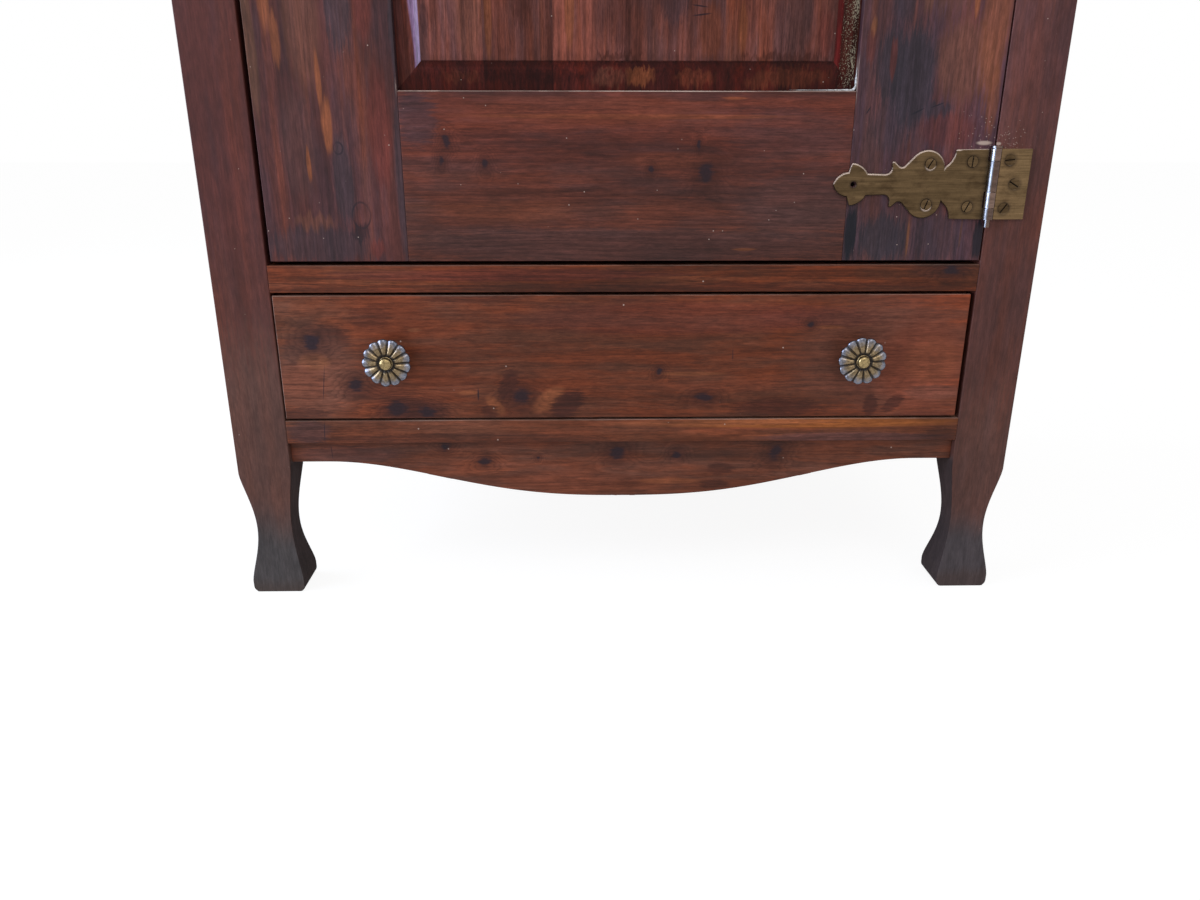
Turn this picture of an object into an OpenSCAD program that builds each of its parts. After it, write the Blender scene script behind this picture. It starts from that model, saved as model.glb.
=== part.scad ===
// Wardrobe with one panelled door over one drawer, on shaped feet.
// The front looks towards -Y, the floor is at Z = 0 and the middle of the width is at X = 0.

/* [Case] */
// Width over the corner posts
body_w = 800; // [720:5:900]
// Depth over the corner posts
body_d = 520; // [460:5:600]
// Height of the corner posts
post_h = 1830; // [1750:5:1950]
// Width of a post, seen from the front
post_w = 55; // [50:1:62]
// Depth of a post, seen from the side
post_d = 48; // [44:1:56]
// Length of the tenons of the case rails
tenon_l = 20; // [12:1:22]
// Shoulder around those tenons
tenon_shoulder = 4; // [3:0.5:6]

/* [Front] */
// Height of the underside of the rail under the drawer
rail_low_z = 170.5; // [165:0.5:185]
// Height of the rail under the drawer
rail_low_h = 24; // [20:0.5:30]
// Height of the opening for the drawer
drawer_opening_h = 130.5; // [125:0.5:160]
// Height of the rail between the drawer and the door
rail_mid_h = 26; // [20:0.5:32]
// Height of the rail over the door
rail_top_h = 110; // [90:5:130]
// Drop of the apron at its middle
apron_drop = 63; // [50:1:75]
// Drop of the apron at the posts
apron_end_drop = 23; // [20:1:30]
// Straight stretch of the apron's edge beside each post
apron_flat = 37; // [20:1:60]
// Distance of the apron behind the front of the posts
apron_set_back = 8; // [4:1:12]
// Thickness of the apron
apron_t = 18; // [16:1:24]

/* [Feet] */
// Height at which the hollows of a foot begin
toe_h = 14; // [12:1:20]
// Height at which the outer hollow ends
knee_h = 137; // [125:1:142]
// Height at which the inner and back hollows end
calf_h = 143; // [132:1:146]
// Depth of the hollow on the outer side
hollow_outer = 12; // [6:0.5:14]
// Depth of the hollow on the inner side
hollow_inner = 6; // [3:0.5:8]
// Depth of the hollow on the side towards the middle of the case
hollow_back = 20; // [10:0.5:22]
// How softly the hollows run out: 1 leaves an edge, more rounds it
hollow_ease = 1.3; // [1:0.05:1.6]
// Rounding of the left and right edges under a foot
toe_r = 7; // [4:0.5:9]
// Rounding of the front and back edges under a foot
toe_front_r = 1.5; // [0.5:0.5:4]

/* [Sides and back] */
// Distance of the side rails behind the outer face of the posts
side_set_back = 4; // [2:0.5:7]
// Thickness of the side rails
side_rail_t = 22; // [18:1:26]
// Height of the bottom rail of a side
side_low_h = 70; // [60:1:90]
// Height of the middle rail of a side
side_mid_h = 80; // [60:1:100]
// Height of the middle of that rail above the floor
side_mid_z = 920; // [850:5:1000]
// Height of the top rail of a side
side_top_h = 90; // [70:1:110]
// Thickness of the side panels
side_panel_t = 8; // [6:0.5:10]
// Depth of the grooves that hold the side panels
side_groove_d = 8; // [6:0.5:9]
// Thickness of the back rails
back_rail_t = 22; // [18:1:26]
// Thickness of the back boards
back_t = 12; // [9:0.5:14]
// Width of the rebate in a back post
rebate_w = 12; // [8:1:16]
// Number of back boards
back_boards = 4; // [4:1:4]
// Width of the tongue on a back board
back_tongue = 5; // [4:0.5:8]
// Gap between two back boards
back_gap = 1; // [0.5:0.1:2]

/* [Top] */
// Thickness of the top board
top_t = 20; // [16:1:26]
// Overhang of the top board at the front and at the sides
top_overhang = 45; // [40:1:55]
// Height of the cornice moulding
cornice_h = 55; // [50:1:65]
// Projection of the cornice moulding
cornice_out = 36; // [33:1:39]
// Thickness of the moulding at its foot
cornice_foot = 8; // [6:0.5:10]
// Thickness of the lip at the top of the moulding
cornice_lip = 6; // [4:0.5:8]

/* [Door] */
// Thickness of the door frame
door_t = 24; // [22:0.5:28]
// Gap between the door and the post on the latch side
door_gap_latch = 4.5; // [2:0.5:6]
// Gap between the door and the post on the hinge side
door_gap_hinge = 1.5; // [1:0.5:3]
// Gap under the door
door_gap_low = 4; // [2:0.5:6]
// Gap over the door
door_gap_top = 3; // [2:0.5:6]
// Width of the stile on the latch side
stile_latch_w = 132; // [120:1:145]
// Width of the stile on the hinge side
stile_hinge_w = 134; // [125:1:145]
// Height of the bottom rail of the door
door_low_h = 153; // [140:1:170]
// Height of the lower panel's opening
panel_low_h = 412; // [350:1:450]
// Height of the middle rail of the door
door_mid_h = 130; // [100:1:150]
// Height of the top rail of the door
door_top_h = 110; // [90:1:130]
// Length of the tenons of the door rails
door_tenon_l = 32; // [25:1:45]
// Thickness of those tenons and width of the panel grooves
groove_w = 7; // [6:0.5:8]
// Distance of the grooves behind the front of the door
groove_back = 9; // [8:0.5:10]
// Depth of the panel grooves
groove_d = 10; // [8:0.5:12]
// Distance of a panel's field behind the front of the door
field_back = 1.5; // [0.5:0.25:2]
// Width of the cove along the sides of a panel
cove_side = 22.5; // [18:0.5:28]
// Width of the cove along the top and bottom of a panel
cove_end = 25; // [18:0.5:30]
// Depth of the cove
cove_depth = 6; // [4:0.25:6.5]
// Play of a panel in its grooves
panel_play = 0.2; // [0.1:0.05:0.3]

/* [Hinges] */
// Height of a hinge
hinge_h = 64; // [58:1:70]
// Distance of a hinge's middle from the end of the door
hinge_inset = 71; // [60:1:100]
// Thickness of the hinge plates
plate_t = 2.5; // [2:0.25:3]
// Radius of the barrel
barrel_r = 5; // [4.5:0.25:5.5]
// Radius of the pin
pin_r = 2.75; // [2.25:0.25:3]
// Play of the pin in the barrel
pin_play = 0.05; // [0.03:0.01:0.08]
// Gap around the barrel and between its knuckles
knuckle_gap = 0.5; // [0.4:0.05:0.8]
// Length of the pin under the barrel
pin_below = 7; // [3:0.5:10]
// Radius of the head of the pin
pin_head_r = 5.3; // [5:0.1:5.4]
// Thickness of the head of the pin
pin_head_t = 2.2; // [1.5:0.1:3]
// Width of the leaf on the post
leaf_w = 36; // [33:1:42]
// Length of the square plate of the strap
strap_plate = 36; // [33:1:42]
// Length of the whole strap
strap_l = 149; // [146:1:158]
// Radius of the two round lobes of the strap
lobe_r = 17; // [15:0.5:18]
// Height of the neck of the strap
neck_h = 19; // [16:1:22]
// Radius of the hole in the tip of the strap
tip_hole_r = 3; // [2:0.25:4]
// Distance of that hole from the end of the strap
tip_hole_in = 19; // [16:0.5:22]
// Distance of the strap's first screws from the pin
strap_screw_u = 19.5; // [14:0.5:24]
// Distance of those screws from the upper and lower edge of the plate
strap_screw_in = 11.5; // [8:0.5:14]
// Distance of the leaf's outer screws from the pin
leaf_screw_u = 15.5; // [13:0.5:18]
// Distance of those screws from the upper and lower edge of the leaf
leaf_screw_in = 10; // [8:0.5:12]
// Distance of the leaf's middle screw from the pin
leaf_mid_u = 22.5; // [20:0.5:26]
// Radius of a screw head
screw_head_r = 5; // [4:0.25:5.5]
// Radius of a screw's shank
shank_r = 2; // [1.5:0.25:2.5]
// Length of a screw
screw_l = 18; // [12:1:20]

/* [Latch] */
// Height of the latch above the bottom of the door
latch_h = 630; // [580:5:680]
// Radius of the spindle
spindle_r = 4; // [3:0.25:5]
// Play of the spindle in the door
spindle_play = 0.05; // [0.03:0.01:0.08]
// Length of the bar from the middle of the spindle
bar_l = 69; // [67:0.5:70]
// Width of the bar
bar_w = 16; // [12:1:18]
// Thickness of the bar
bar_t = 8; // [6:0.5:9]
// Width of the stop strip behind the door
stop_w = 14; // [10:1:16]
// Thickness of the stop strip
stop_t = 13; // [10:1:14]

/* [Knobs] */
// Diameter of a knob
knob_d = 46; // [42:1:52]
// Projection of a knob
knob_out = 27; // [25:0.5:32]
// Number of petals
petals = 13; // [11:1:15]
// Radius of the boss in the middle of a knob
boss_r = 5.9; // [5:0.1:6.5]
// Radius of the neck behind a knob's flower
knob_neck_r = 6.4; // [5:0.1:8]
// Radius of the hollow between a knob's neck and its base
knob_hollow_r = 5.6; // [4:0.1:6.5]
// Thickness of a knob's base
knob_base_t = 1.5; // [1:0.25:3]
// Height of the dome on a knob's boss
boss_rise = 3; // [2:0.25:4]
// Distance of a drawer knob from the post beside it
knob_inset = 110; // [90:1:140]
// Length of a drawer knob's screw in the wood
knob_screw_l = 18; // [12:1:20]

/* [Drawer] */
// Thickness of the drawer front
drawer_front_t = 25; // [22:1:28]
// Gap on the left of the drawer front
drawer_gap_left = 1.5; // [1:0.5:3]
// Gap on the right of the drawer front
drawer_gap_right = 4.5; // [1.5:0.5:5]
// Gap over the drawer front
drawer_gap_top = 3; // [2:0.5:5]
// Gap under the drawer front
drawer_gap_low = 2.5; // [1:0.5:4]
// Gap between the drawer and the rail at the back of the case
drawer_room = 21; // [16:1:120]
// Thickness of the drawer sides and back
drawer_side_t = 12; // [10:0.5:16]
// Height of the drawer sides
drawer_side_h = 110; // [95:1:114]
// Thickness of the drawer bottom
drawer_bottom_t = 6; // [4:0.5:8]
// Height of the drawer bottom above the lower edge of the sides
drawer_bottom_up = 8.5; // [7.5:0.5:12]
// Depth of the grooves for the drawer bottom
drawer_groove_d = 6; // [4:0.5:8]
// Length of the dovetails in the drawer front
tail_l = 16; // [12:1:18]
// Number of dovetails in a corner
tails = 3; // [2:1:4]
// Slope of the dovetails
tail_slope = 10; // [6:1:13]
// Width of the pins between the dovetails, at their narrow end
pin_w = 7; // [5:0.5:9]
// Gap under the drawer sides
drawer_lift = 0.3; // [0.2:0.1:0.5]

/* [Inside] */
// Thickness of the floor board
floor_t = 16; // [12:1:20]
// Width of the strips that carry the floor board
cleat_w = 20; // [15:1:25]
// Height of the drawer runners
runner_h = 20; // [15:1:24]
// Width of the part of a runner under the drawer
runner_in = 45; // [30:1:60]
// Height of the drawer guides
guide_h = 30; // [20:1:40]
// Gap between a guide and the face of the posts
guide_gap = 1; // [0.5:0.1:1.2]
// Height of the hat shelf above the floor
shelf_z = 1520; // [1450:5:1560]
// Thickness of the hat shelf
shelf_t = 18; // [15:1:22]
// Height of the boards that carry the shelf
shelf_cleat_h = 70; // [60:1:90]
// Thickness of those boards
shelf_cleat_t = 24; // [18:1:26]
// Radius of the hanging rod
rod_r = 14; // [12:0.5:16]
// Distance of the rod under the shelf
rod_drop = 42; // [36:1:44]
// Radius of a rod socket
socket_r = 22; // [19:0.5:24]
// Thickness of a rod socket
socket_t = 10; // [8:1:14]
// Gap around the shelf and the floor board
board_gap = 0.8; // [0.4:0.1:0.9]

/* [Hidden] */
$fn = 64;
eps = 1;

// Main places of the case
face_y = (top_overhang - body_d) / 2;
back_y = face_y + body_d;
outer_x = body_w / 2;
inner_x = outer_x - post_w;
rail_mid_z = rail_low_z + rail_low_h + drawer_opening_h;
rail_top_z = post_h - rail_top_h;
floor_top_z = rail_mid_z + rail_mid_h;
board_y = back_y - back_t;
base_z = rail_low_z - apron_end_drop;
side_x = outer_x - side_set_back - side_rail_t;
side_rails = [
    [base_z, base_z + side_low_h],
    [side_mid_z - side_mid_h / 2, side_mid_z + side_mid_h / 2],
    [post_h - side_top_h, post_h]
];
case_tenon_y = 10;
side_tenon_t = 8;
// Room between the edge of a panel and the bottom of its groove
edge_room = 0.9;

// Places of the door
door_x0 = -inner_x + door_gap_latch;
door_x1 = inner_x - door_gap_hinge;
door_z0 = floor_top_z + door_gap_low;
door_z1 = rail_top_z - door_gap_top;
sight_x0 = door_x0 + stile_latch_w;
sight_x1 = door_x1 - stile_hinge_w;
door_rails = [
    [door_z0, door_z0 + door_low_h],
    [door_z0 + door_low_h + panel_low_h, door_z0 + door_low_h + panel_low_h + door_mid_h],
    [door_z1 - door_top_h, door_z1]
];
door_tenon_inset = 15;
groove_y = face_y + groove_back;

// Places of the hinges
axis_x = door_x1;
axis_y = face_y - barrel_r - knuckle_gap;
hinge_zs = [door_z0 + hinge_inset, door_z1 - hinge_inset];
knuckle_parts = [0, 0.165, 0.395, 0.83, 1];
lobe_u = 26;
lobe_in = 1;
lobe = [strap_plate + lobe_u, hinge_h / 2 - lobe_in - lobe_r];
lobe_screw_place = [-3, 4.5];
lobe_screw = lobe + lobe_screw_place;
shoulder_r = 18;
shoulder_in = 0.5;
valley_place = [23.5, 6];
valley_r = 4.2;
peak_place = [31.2, 5.2];
peak_r = 1.6;
spur_u = 38.5;
spur_r = 6;
ear_r = 19;
ear_in = 15.5;
ear_up = 0.5;
nose_r = 15.4;
nose_down = 4.1;
nose_angle = asin(nose_down / nose_r);
strap_screws_uv = [[strap_screw_u, hinge_h / 2 - strap_screw_in], lobe_screw];
leaf_screws_uv = [
    [leaf_screw_u, hinge_h / 2 - leaf_screw_in], [leaf_mid_u, 0],
    [leaf_screw_u, leaf_screw_in - hinge_h / 2]
];
strap_slots = [-65, -88, -70, -60];
leaf_slots = [-5, 30, -55];
screw_play = 0.1;
slot_w = 1.2;
slot_d = 0.8;
tip_pilot_l = 12;

// Places of the latch and its stop
latch_x = door_x0 + stile_latch_w / 2;
latch_z = door_z0 + latch_h;
door_back_y = face_y + door_t;
stop_gap = 0.4;
bar_y = door_back_y + stop_gap + stop_t + stop_gap;

// Places of the drawer
drawer_x0 = -inner_x + drawer_gap_left;
drawer_x1 = inner_x - drawer_gap_right;
drawer_z0 = rail_low_z + rail_low_h + drawer_gap_low;
drawer_z1 = rail_mid_z - drawer_gap_top;
drawer_side_z = rail_low_z + rail_low_h + drawer_lift;
drawer_inner_y = face_y + drawer_front_t;
drawer_bottom_z = drawer_side_z + drawer_bottom_up;
drawer_back_y = board_y - back_rail_t - drawer_room;
tail_step = drawer_side_h / tails;
// Size of a block that stops the drawer
stop_block = [30, 18, 6.5];

// Places inside
shelf_y0 = face_y + post_d + board_gap;
shelf_y1 = board_y - board_gap;
notch_y = back_y - post_d - board_gap;
rod_y = (face_y + back_y) / 2;
rod_z = shelf_z - rod_drop;
socket_x = side_x - shelf_cleat_t;
rod_play = 0.3;
socket_floor = 2;

// Form of a knob's petals: faces around each, depth of the notches in the rim and of the grooves
petal_steps = 6;
petal_scallop = 2.2;
petal_swell = 2.4;
petal_round = 0.7;
// From behind the petals to the boss: share of the rim, distance behind the front of the knob,
// share of the notches and share of the grooves
petal_profile = [
    [0.72, 13, 0.25, 0], [0.95, 11.5, 1, 0], [1, 9, 1, 0.3], [0.97, 7.2, 1, 0.8],
    [0.86, 6.2, 0.8, 1], [0.66, 5.2, 0.5, 1], [0.46, 4.6, 0.2, 0.9]
];
// Ring around the boss: its width, the width of its slope and how far its floor lies back
boss_ring_w = 1.2;
boss_ring_slope = 0.8;
boss_ring_back = 6;
boss_ring_edge = 4.9;

// Colours of the finishes
post_colour = [0.27, 0.12, 0.10];
door_colour = [0.33, 0.15, 0.11];
drawer_colour = [0.42, 0.19, 0.12];
inner_colour = [0.55, 0.36, 0.24];
brass_colour = [0.45, 0.36, 0.20];

// Box between two corners
module block(lo, hi) {
    translate(lo) cube(hi - lo);
}

// Draws on the right side for 1 and on the left side for -1
module on_side(s) {
    mirror([s < 0 ? 1 : 0, 0, 0]) children();
}

module both_sides() {
    for (s = [-1, 1]) on_side(s) children();
}

// Radius of an arc over a chord with a given rise
function arc_radius(chord, rise) = (chord * chord / 4 + rise * rise) / (2 * rise);

// Points along an arc about c, from angle a0 to a1
function arc(c, r, a0, a1, n) =
    [for (i = [0:n]) let (a = a0 + (a1 - a0) * i / n) c + r * [cos(a), sin(a)]];

// Tenons on the right end of a rail of the front or back of the case
module end_tenon(y0, y1, z0, z1) {
    block(
        [inner_x - eps, y0, z0 + tenon_shoulder],
        [inner_x + tenon_l, y1, z1 - tenon_shoulder]
    );
}

module front_tenon(z0, z1) {
    end_tenon(face_y + case_tenon_y, face_y + post_d - case_tenon_y, z0, z1);
}

module apron_tenon() {
    end_tenon(
        face_y + apron_set_back + tenon_shoulder,
        face_y + apron_set_back + apron_t - tenon_shoulder,
        base_z, rail_low_z
    );
}

module back_tenon(z0, z1) {
    end_tenon(board_y - back_rail_t + tenon_shoulder, board_y - tenon_shoulder, z0, z1);
}

// Rail between the two front posts
module front_rail(z0, z1) {
    block([-inner_x, face_y, z0], [inner_x, face_y + post_d, z1]);
    both_sides() front_tenon(z0, z1);
}

// Rail between the two back posts
module back_rail(z0, z1) {
    block([-inner_x, board_y - back_rail_t, z0], [inner_x, board_y, z1]);
    both_sides() back_tenon(z0, z1);
}

// Tenons on both ends of a rail of the right side
module side_tenons(z0, z1) {
    tenon_x = side_x + (side_rail_t - side_tenon_t) / 2;
    block(
        [tenon_x, face_y + post_d - tenon_l, z0 + tenon_shoulder],
        [tenon_x + side_tenon_t, back_y - post_d + tenon_l, z1 - tenon_shoulder]
    );
}

// Panel of the right side between two rails, or its groove when play is given
module side_panel_shape(low, high, play) {
    panel_x = side_x + (side_rail_t - side_panel_t) / 2;
    reach = side_groove_d - (play > 0 ? 0 : edge_room);
    block(
        [panel_x - play, face_y + post_d - reach, side_rails[low][1] - reach],
        [panel_x + side_panel_t + play, back_y - post_d + reach, side_rails[high][0] + reach]
    );
}

module side_panel_grooves() {
    side_panel_shape(0, 1, panel_play);
    side_panel_shape(1, 2, panel_play);
}

module side_rail(index) {
    z0 = side_rails[index][0];
    z1 = side_rails[index][1];
    difference() {
        union() {
            block([side_x, face_y + post_d, z0], [side_x + side_rail_t, back_y - post_d, z1]);
            side_tenons(z0, z1);
        }
        side_panel_grooves();
    }
}

// Points down a hollow in the face at x, cut towards s, between the heights z0 and z1
function hollow(x, s, z0, z1, depth, n = 26) = [
    for (i = [0:n]) [
        x + s * depth * pow(max(sin(180 * i / n), 0), hollow_ease),
        z1 + (z0 - z1) * i / n
    ]
];

// Outline of a post with its foot: the near face at 0, the far face at w, the hollow in each of them
// and the rounding r under the foot
function post_outline(w, near, far, r) = concat(
    [[0, post_h], [w, post_h]],
    far,
    arc([w - r, r], r, 0, -90, 6),
    arc([r, r], r, -90, -180, 6),
    near
);

// Post with its shaped foot: its near corner faces the front and the middle of the case
module post_blank() {
    inner = hollow(0, 1, toe_h, calf_h, hollow_inner);
    inner_up = [for (i = [len(inner) - 1:-1:0]) inner[i]];
    outer = hollow(post_w, -1, toe_h, knee_h, hollow_outer);
    back = hollow(post_d, -1, toe_h, calf_h, hollow_back);
    intersection() {
        translate([0, post_d, 0]) rotate([90, 0, 0]) linear_extrude(post_d)
            polygon(post_outline(post_w, inner_up, outer, toe_r));
        rotate([90, 0, 90]) linear_extrude(post_w)
            polygon(post_outline(post_d, [], back, toe_front_r));
    }
}

// Corner post: sx is 1 on the right, sy is -1 at the front
module post(sx, sy) {
    color(post_colour) difference() {
        translate([sx * inner_x, sy < 0 ? face_y : back_y, 0])
            mirror([sx < 0 ? 1 : 0, 0, 0]) mirror([0, sy > 0 ? 1 : 0, 0]) post_blank();
        on_side(sx) {
            for (r = side_rails) side_tenons(r[0], r[1]);
            side_panel_grooves();
            if (sy < 0) {
                front_tenon(rail_low_z, rail_low_z + rail_low_h);
                front_tenon(rail_mid_z, floor_top_z);
                front_tenon(rail_top_z, post_h);
                apron_tenon();
                if (sx > 0) for (z = hinge_zs) leaf_pilots(z);
            } else {
                back_tenon(side_rails[0][0], side_rails[0][1]);
                back_tenon(side_rails[2][0], side_rails[2][1]);
                block(
                    [inner_x - eps, board_y, base_z],
                    [inner_x + rebate_w, back_y + eps, post_h + eps]
                );
            }
        }
    }
}

// Lower edge of the apron: a flat beside each post and one long swell between them
function apron_edge(x) = let (u = abs(x) / (inner_x - apron_flat))
    rail_low_z - apron_drop
    + (apron_drop - apron_end_drop) * (1 - cos(180 * pow(min(u, 1), 1.3))) / 2;

module apron() {
    half = inner_x - apron_flat;
    steps = 48;
    edge = [for (i = [-steps:steps]) let (x = half * i / steps) [x, apron_edge(x)]];
    color(drawer_colour) {
        translate([0, face_y + apron_set_back + apron_t, 0]) rotate([90, 0, 0])
            linear_extrude(apron_t) polygon(concat(
                [[-inner_x, rail_low_z], [-inner_x, base_z]], edge,
                [[inner_x, base_z], [inner_x, rail_low_z]]
            ));
        both_sides() apron_tenon();
    }
}

// Back board number i from the left, its tongue on the right
module back_board(i) {
    total_w = 2 * (inner_x + rebate_w);
    pitch = (total_w + back_gap) / back_boards;
    x0 = -total_w / 2 + i * pitch;
    x1 = x0 + pitch - back_gap;
    tongue_t = back_t / 3;
    color(inner_colour) difference() {
        union() {
            block([x0, board_y, base_z], [x1, back_y, post_h]);
            if (i < back_boards - 1)
                block([x1 - eps, board_y + tongue_t, base_z], [x1 + back_tongue, back_y - tongue_t, post_h]);
        }
        if (i > 0) block(
            [x0 - eps, board_y + tongue_t, base_z - eps],
            [x0 + back_tongue - back_gap, back_y - tongue_t, post_h + eps]
        );
    }
}

// Top board with a half-round edge at the front and the sides
module top_board() {
    nose = top_t / 2;
    x = outer_x + top_overhang - nose;
    y = face_y - top_overhang + nose;
    color(post_colour) translate([0, 0, post_h + nose]) {
        block([-x, y, -nose], [x, back_y, nose]);
        translate([-x, y, 0]) rotate([0, 90, 0]) cylinder(r = nose, h = 2 * x);
        both_sides() {
            translate([x, y, 0]) rotate([-90, 0, 0]) cylinder(r = nose, h = back_y - y);
            translate([x, y, 0]) sphere(r = nose);
        }
    }
}

// Length of cornice that runs along X, its back at Y = 0 and its foot at Z = 0
module moulding(length) {
    cove_r = cornice_out - cornice_foot;
    cove_z = cornice_h - cornice_lip - cove_r;
    translate([-length / 2, 0, 0]) rotate([90, 0, 90]) linear_extrude(length) mirror([1, 0]) difference() {
        square([cornice_out, cornice_h]);
        translate([cornice_out, cove_z]) circle(r = cove_r);
        translate([cornice_foot, -eps]) square([cornice_out, cove_z + eps]);
    }
}

// Waste beyond the mitre on the right end of a front length of cornice
module mitre_waste() {
    translate([outer_x, face_y, -eps]) rotate([0, 0, -45])
        translate([-2 * cornice_out, 0, 0]) cube([4 * cornice_out, 4 * cornice_out, cornice_h + 2 * eps]);
}

module cornice_front() {
    color(post_colour) translate([0, 0, post_h - cornice_h]) difference() {
        translate([0, face_y, 0]) moulding(body_w + 2 * cornice_out);
        both_sides() mitre_waste();
    }
}

module cornice_side(s) {
    color(post_colour) on_side(s) translate([0, 0, post_h - cornice_h]) intersection() {
        translate([outer_x, (face_y - cornice_out + back_y) / 2, 0]) rotate([0, 0, 90])
            moulding(body_d + cornice_out);
        union() {
            mitre_waste();
            block([outer_x, face_y, -eps], [outer_x + cornice_out, back_y, cornice_h + eps]);
        }
    }
}

// Board over the whole inside, cut out around the back posts
module inside_board(z0, z1, y0) {
    color(inner_colour) difference() {
        block([board_gap - side_x, y0, z0], [side_x - board_gap, shelf_y1, z1]);
        both_sides() block(
            [inner_x - board_gap, notch_y, z0 - eps],
            [side_x + eps, back_y, z1 + eps]
        );
    }
}

module floor_board() {
    inside_board(floor_top_z - floor_t, floor_top_z, face_y + post_d);
}

module hat_shelf() {
    inside_board(shelf_z, shelf_z + shelf_t, shelf_y0);
}

// Strips under the floor board, fixed to the posts behind the middle rail
module floor_cleats() {
    top_z = floor_top_z - floor_t;
    color(inner_colour) both_sides() block(
        [inner_x - cleat_w, face_y + post_d, top_z - cleat_w],
        [inner_x, board_y, top_z]
    );
}

// Strips that the drawer slides on, between the front rail and the back posts
module drawer_runners() {
    top_z = rail_low_z + rail_low_h;
    color(inner_colour) both_sides() block(
        [inner_x - runner_in, face_y + post_d, top_z - runner_h],
        [side_x, back_y - post_d, top_z]
    );
}

// Strips beside the drawer, on the runners
module drawer_guides() {
    top_z = rail_low_z + rail_low_h;
    color(inner_colour) both_sides() block(
        [inner_x - guide_gap, face_y + post_d, top_z],
        [side_x, back_y - post_d, top_z + guide_h]
    );
}

// Two blocks on the rail that stop the drawer front flush with the posts
module drawer_stops() {
    color(inner_colour) both_sides() translate([
        inner_x / 2, drawer_inner_y + stop_gap, rail_low_z + rail_low_h
    ]) cube(stop_block);
}

module shelf_cleats() {
    color(inner_colour) both_sides() block(
        [side_x - shelf_cleat_t, face_y + post_d, shelf_z - shelf_cleat_h],
        [side_x, back_y - post_d, shelf_z]
    );
}

module hanging_rod() {
    half = socket_x - socket_floor - rod_play;
    color(inner_colour) translate([-half, rod_y, rod_z]) rotate([0, 90, 0]) cylinder(r = rod_r, h = 2 * half);
}

// Round cups that hold the ends of the rod
module rod_sockets() {
    color(inner_colour) both_sides() translate([socket_x - socket_t, rod_y, rod_z]) rotate([0, 90, 0])
        difference() {
            cylinder(r = socket_r, h = socket_t);
            translate([0, 0, -eps]) cylinder(r = rod_r + rod_play, h = socket_t - socket_floor + eps);
        }
}

// Strip on the left post that the door closes on
module door_stop() {
    color(post_colour) block(
        [-inner_x, door_back_y + stop_gap, floor_top_z],
        [stop_w - inner_x, door_back_y + stop_gap + stop_t, rail_top_z]
    );
}

// Tenons of the door rails
module door_tenons(z0, z1) {
    block(
        [sight_x0 - door_tenon_l, groove_y, z0 + door_tenon_inset],
        [sight_x1 + door_tenon_l, groove_y + groove_w, z1 - door_tenon_inset]
    );
}

module door_rail(index) {
    z0 = door_rails[index][0];
    z1 = door_rails[index][1];
    color(door_colour) difference() {
        union() {
            block([sight_x0, face_y, z0], [sight_x1, door_back_y, z1]);
            door_tenons(z0, z1);
        }
        door_grooves();
    }
}

// Grooves of both door panels
module door_grooves() {
    for (i = [0, 1]) block(
        [sight_x0 - groove_d, groove_y, door_rails[i][1] - groove_d],
        [sight_x1 + groove_d, groove_y + groove_w, door_rails[i + 1][0] + groove_d]
    );
}

module door_stile(x0, x1) {
    color(door_colour) difference() {
        block([x0, face_y, door_z0], [x1, door_back_y, door_z1]);
        for (r = door_rails) door_tenons(r[0], r[1]);
        door_grooves();
        for (z = hinge_zs) strap_pilots(z);
        translate([latch_x, face_y - eps, latch_z]) rotate([-90, 0, 0])
            cylinder(r = spindle_r + spindle_play, h = door_t + 2 * eps);
    }
}

// Section across a raised panel of the given width between sight edges: flat back, coved edges, raised field
function panel_section(width, cove_w) = let (
    edge = groove_d - edge_room,
    front = groove_back + panel_play,
    back = groove_back + groove_w - panel_play,
    r = arc_radius(2 * cove_w, cove_depth),
    sweep = asin(cove_w / r),
    low = arc([0, front - r], r, 90, 90 - sweep, 10),
    high = arc([width, front - r], r, 90 + sweep, 90, 10)
) concat(
    [[-edge, back], [-edge, front]], low,
    [[cove_w, field_back], [width - cove_w, field_back]], high,
    [[width + edge, front], [width + edge, back]]
);

// Raised panel with a cove on all four edges, between door rails i and i + 1
module door_panel(i) {
    z0 = door_rails[i][1];
    z1 = door_rails[i + 1][0];
    color(door_colour) translate([0, face_y, 0]) intersection() {
        translate([sight_x0, 0, z0 - groove_d]) linear_extrude(z1 - z0 + 2 * groove_d)
            polygon(panel_section(sight_x1 - sight_x0, cove_side));
        translate([sight_x0 - groove_d, 0, z0]) rotate([90, 0, 90])
            linear_extrude(sight_x1 - sight_x0 + 2 * groove_d)
            mirror([1, -1, 0]) polygon(panel_section(z1 - z0, cove_end));
    }
}

// Upper half of the strap's outline, from the barrel to the tip, as [distance, height]
function strap_half() = let (
    top = hinge_h / 2,
    shoulder = [strap_plate + shoulder_r, top - shoulder_in],
    valley = lobe + valley_place,
    peak = lobe + peak_place,
    spur = [lobe[0] + spur_u, neck_h / 2 + spur_r],
    ear = [strap_l - ear_in, ear_up],
    nose = [strap_l - nose_r * cos(nose_angle), -nose_down]
) concat(
    [[0, top]],
    arc(shoulder, shoulder_r, 180, 236, 5),
    arc(lobe, lobe_r, 176, 45, 15),
    arc(valley, valley_r, 225, 300, 5),
    arc(peak, peak_r, 130, 10, 5),
    arc(spur, spur_r, 165, 270, 6),
    arc(ear, ear_r, 150, 93, 6),
    arc(nose, nose_r, 86, nose_angle + 8, 6),
    [[strap_l, 0]]
);

module strap_outline() {
    half = strap_half();
    last = len(half) - 2;
    mirror([1, 0]) polygon(concat(half, [for (i = [last:-1:0]) [half[i][0], -half[i][1]]]));
}

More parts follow.
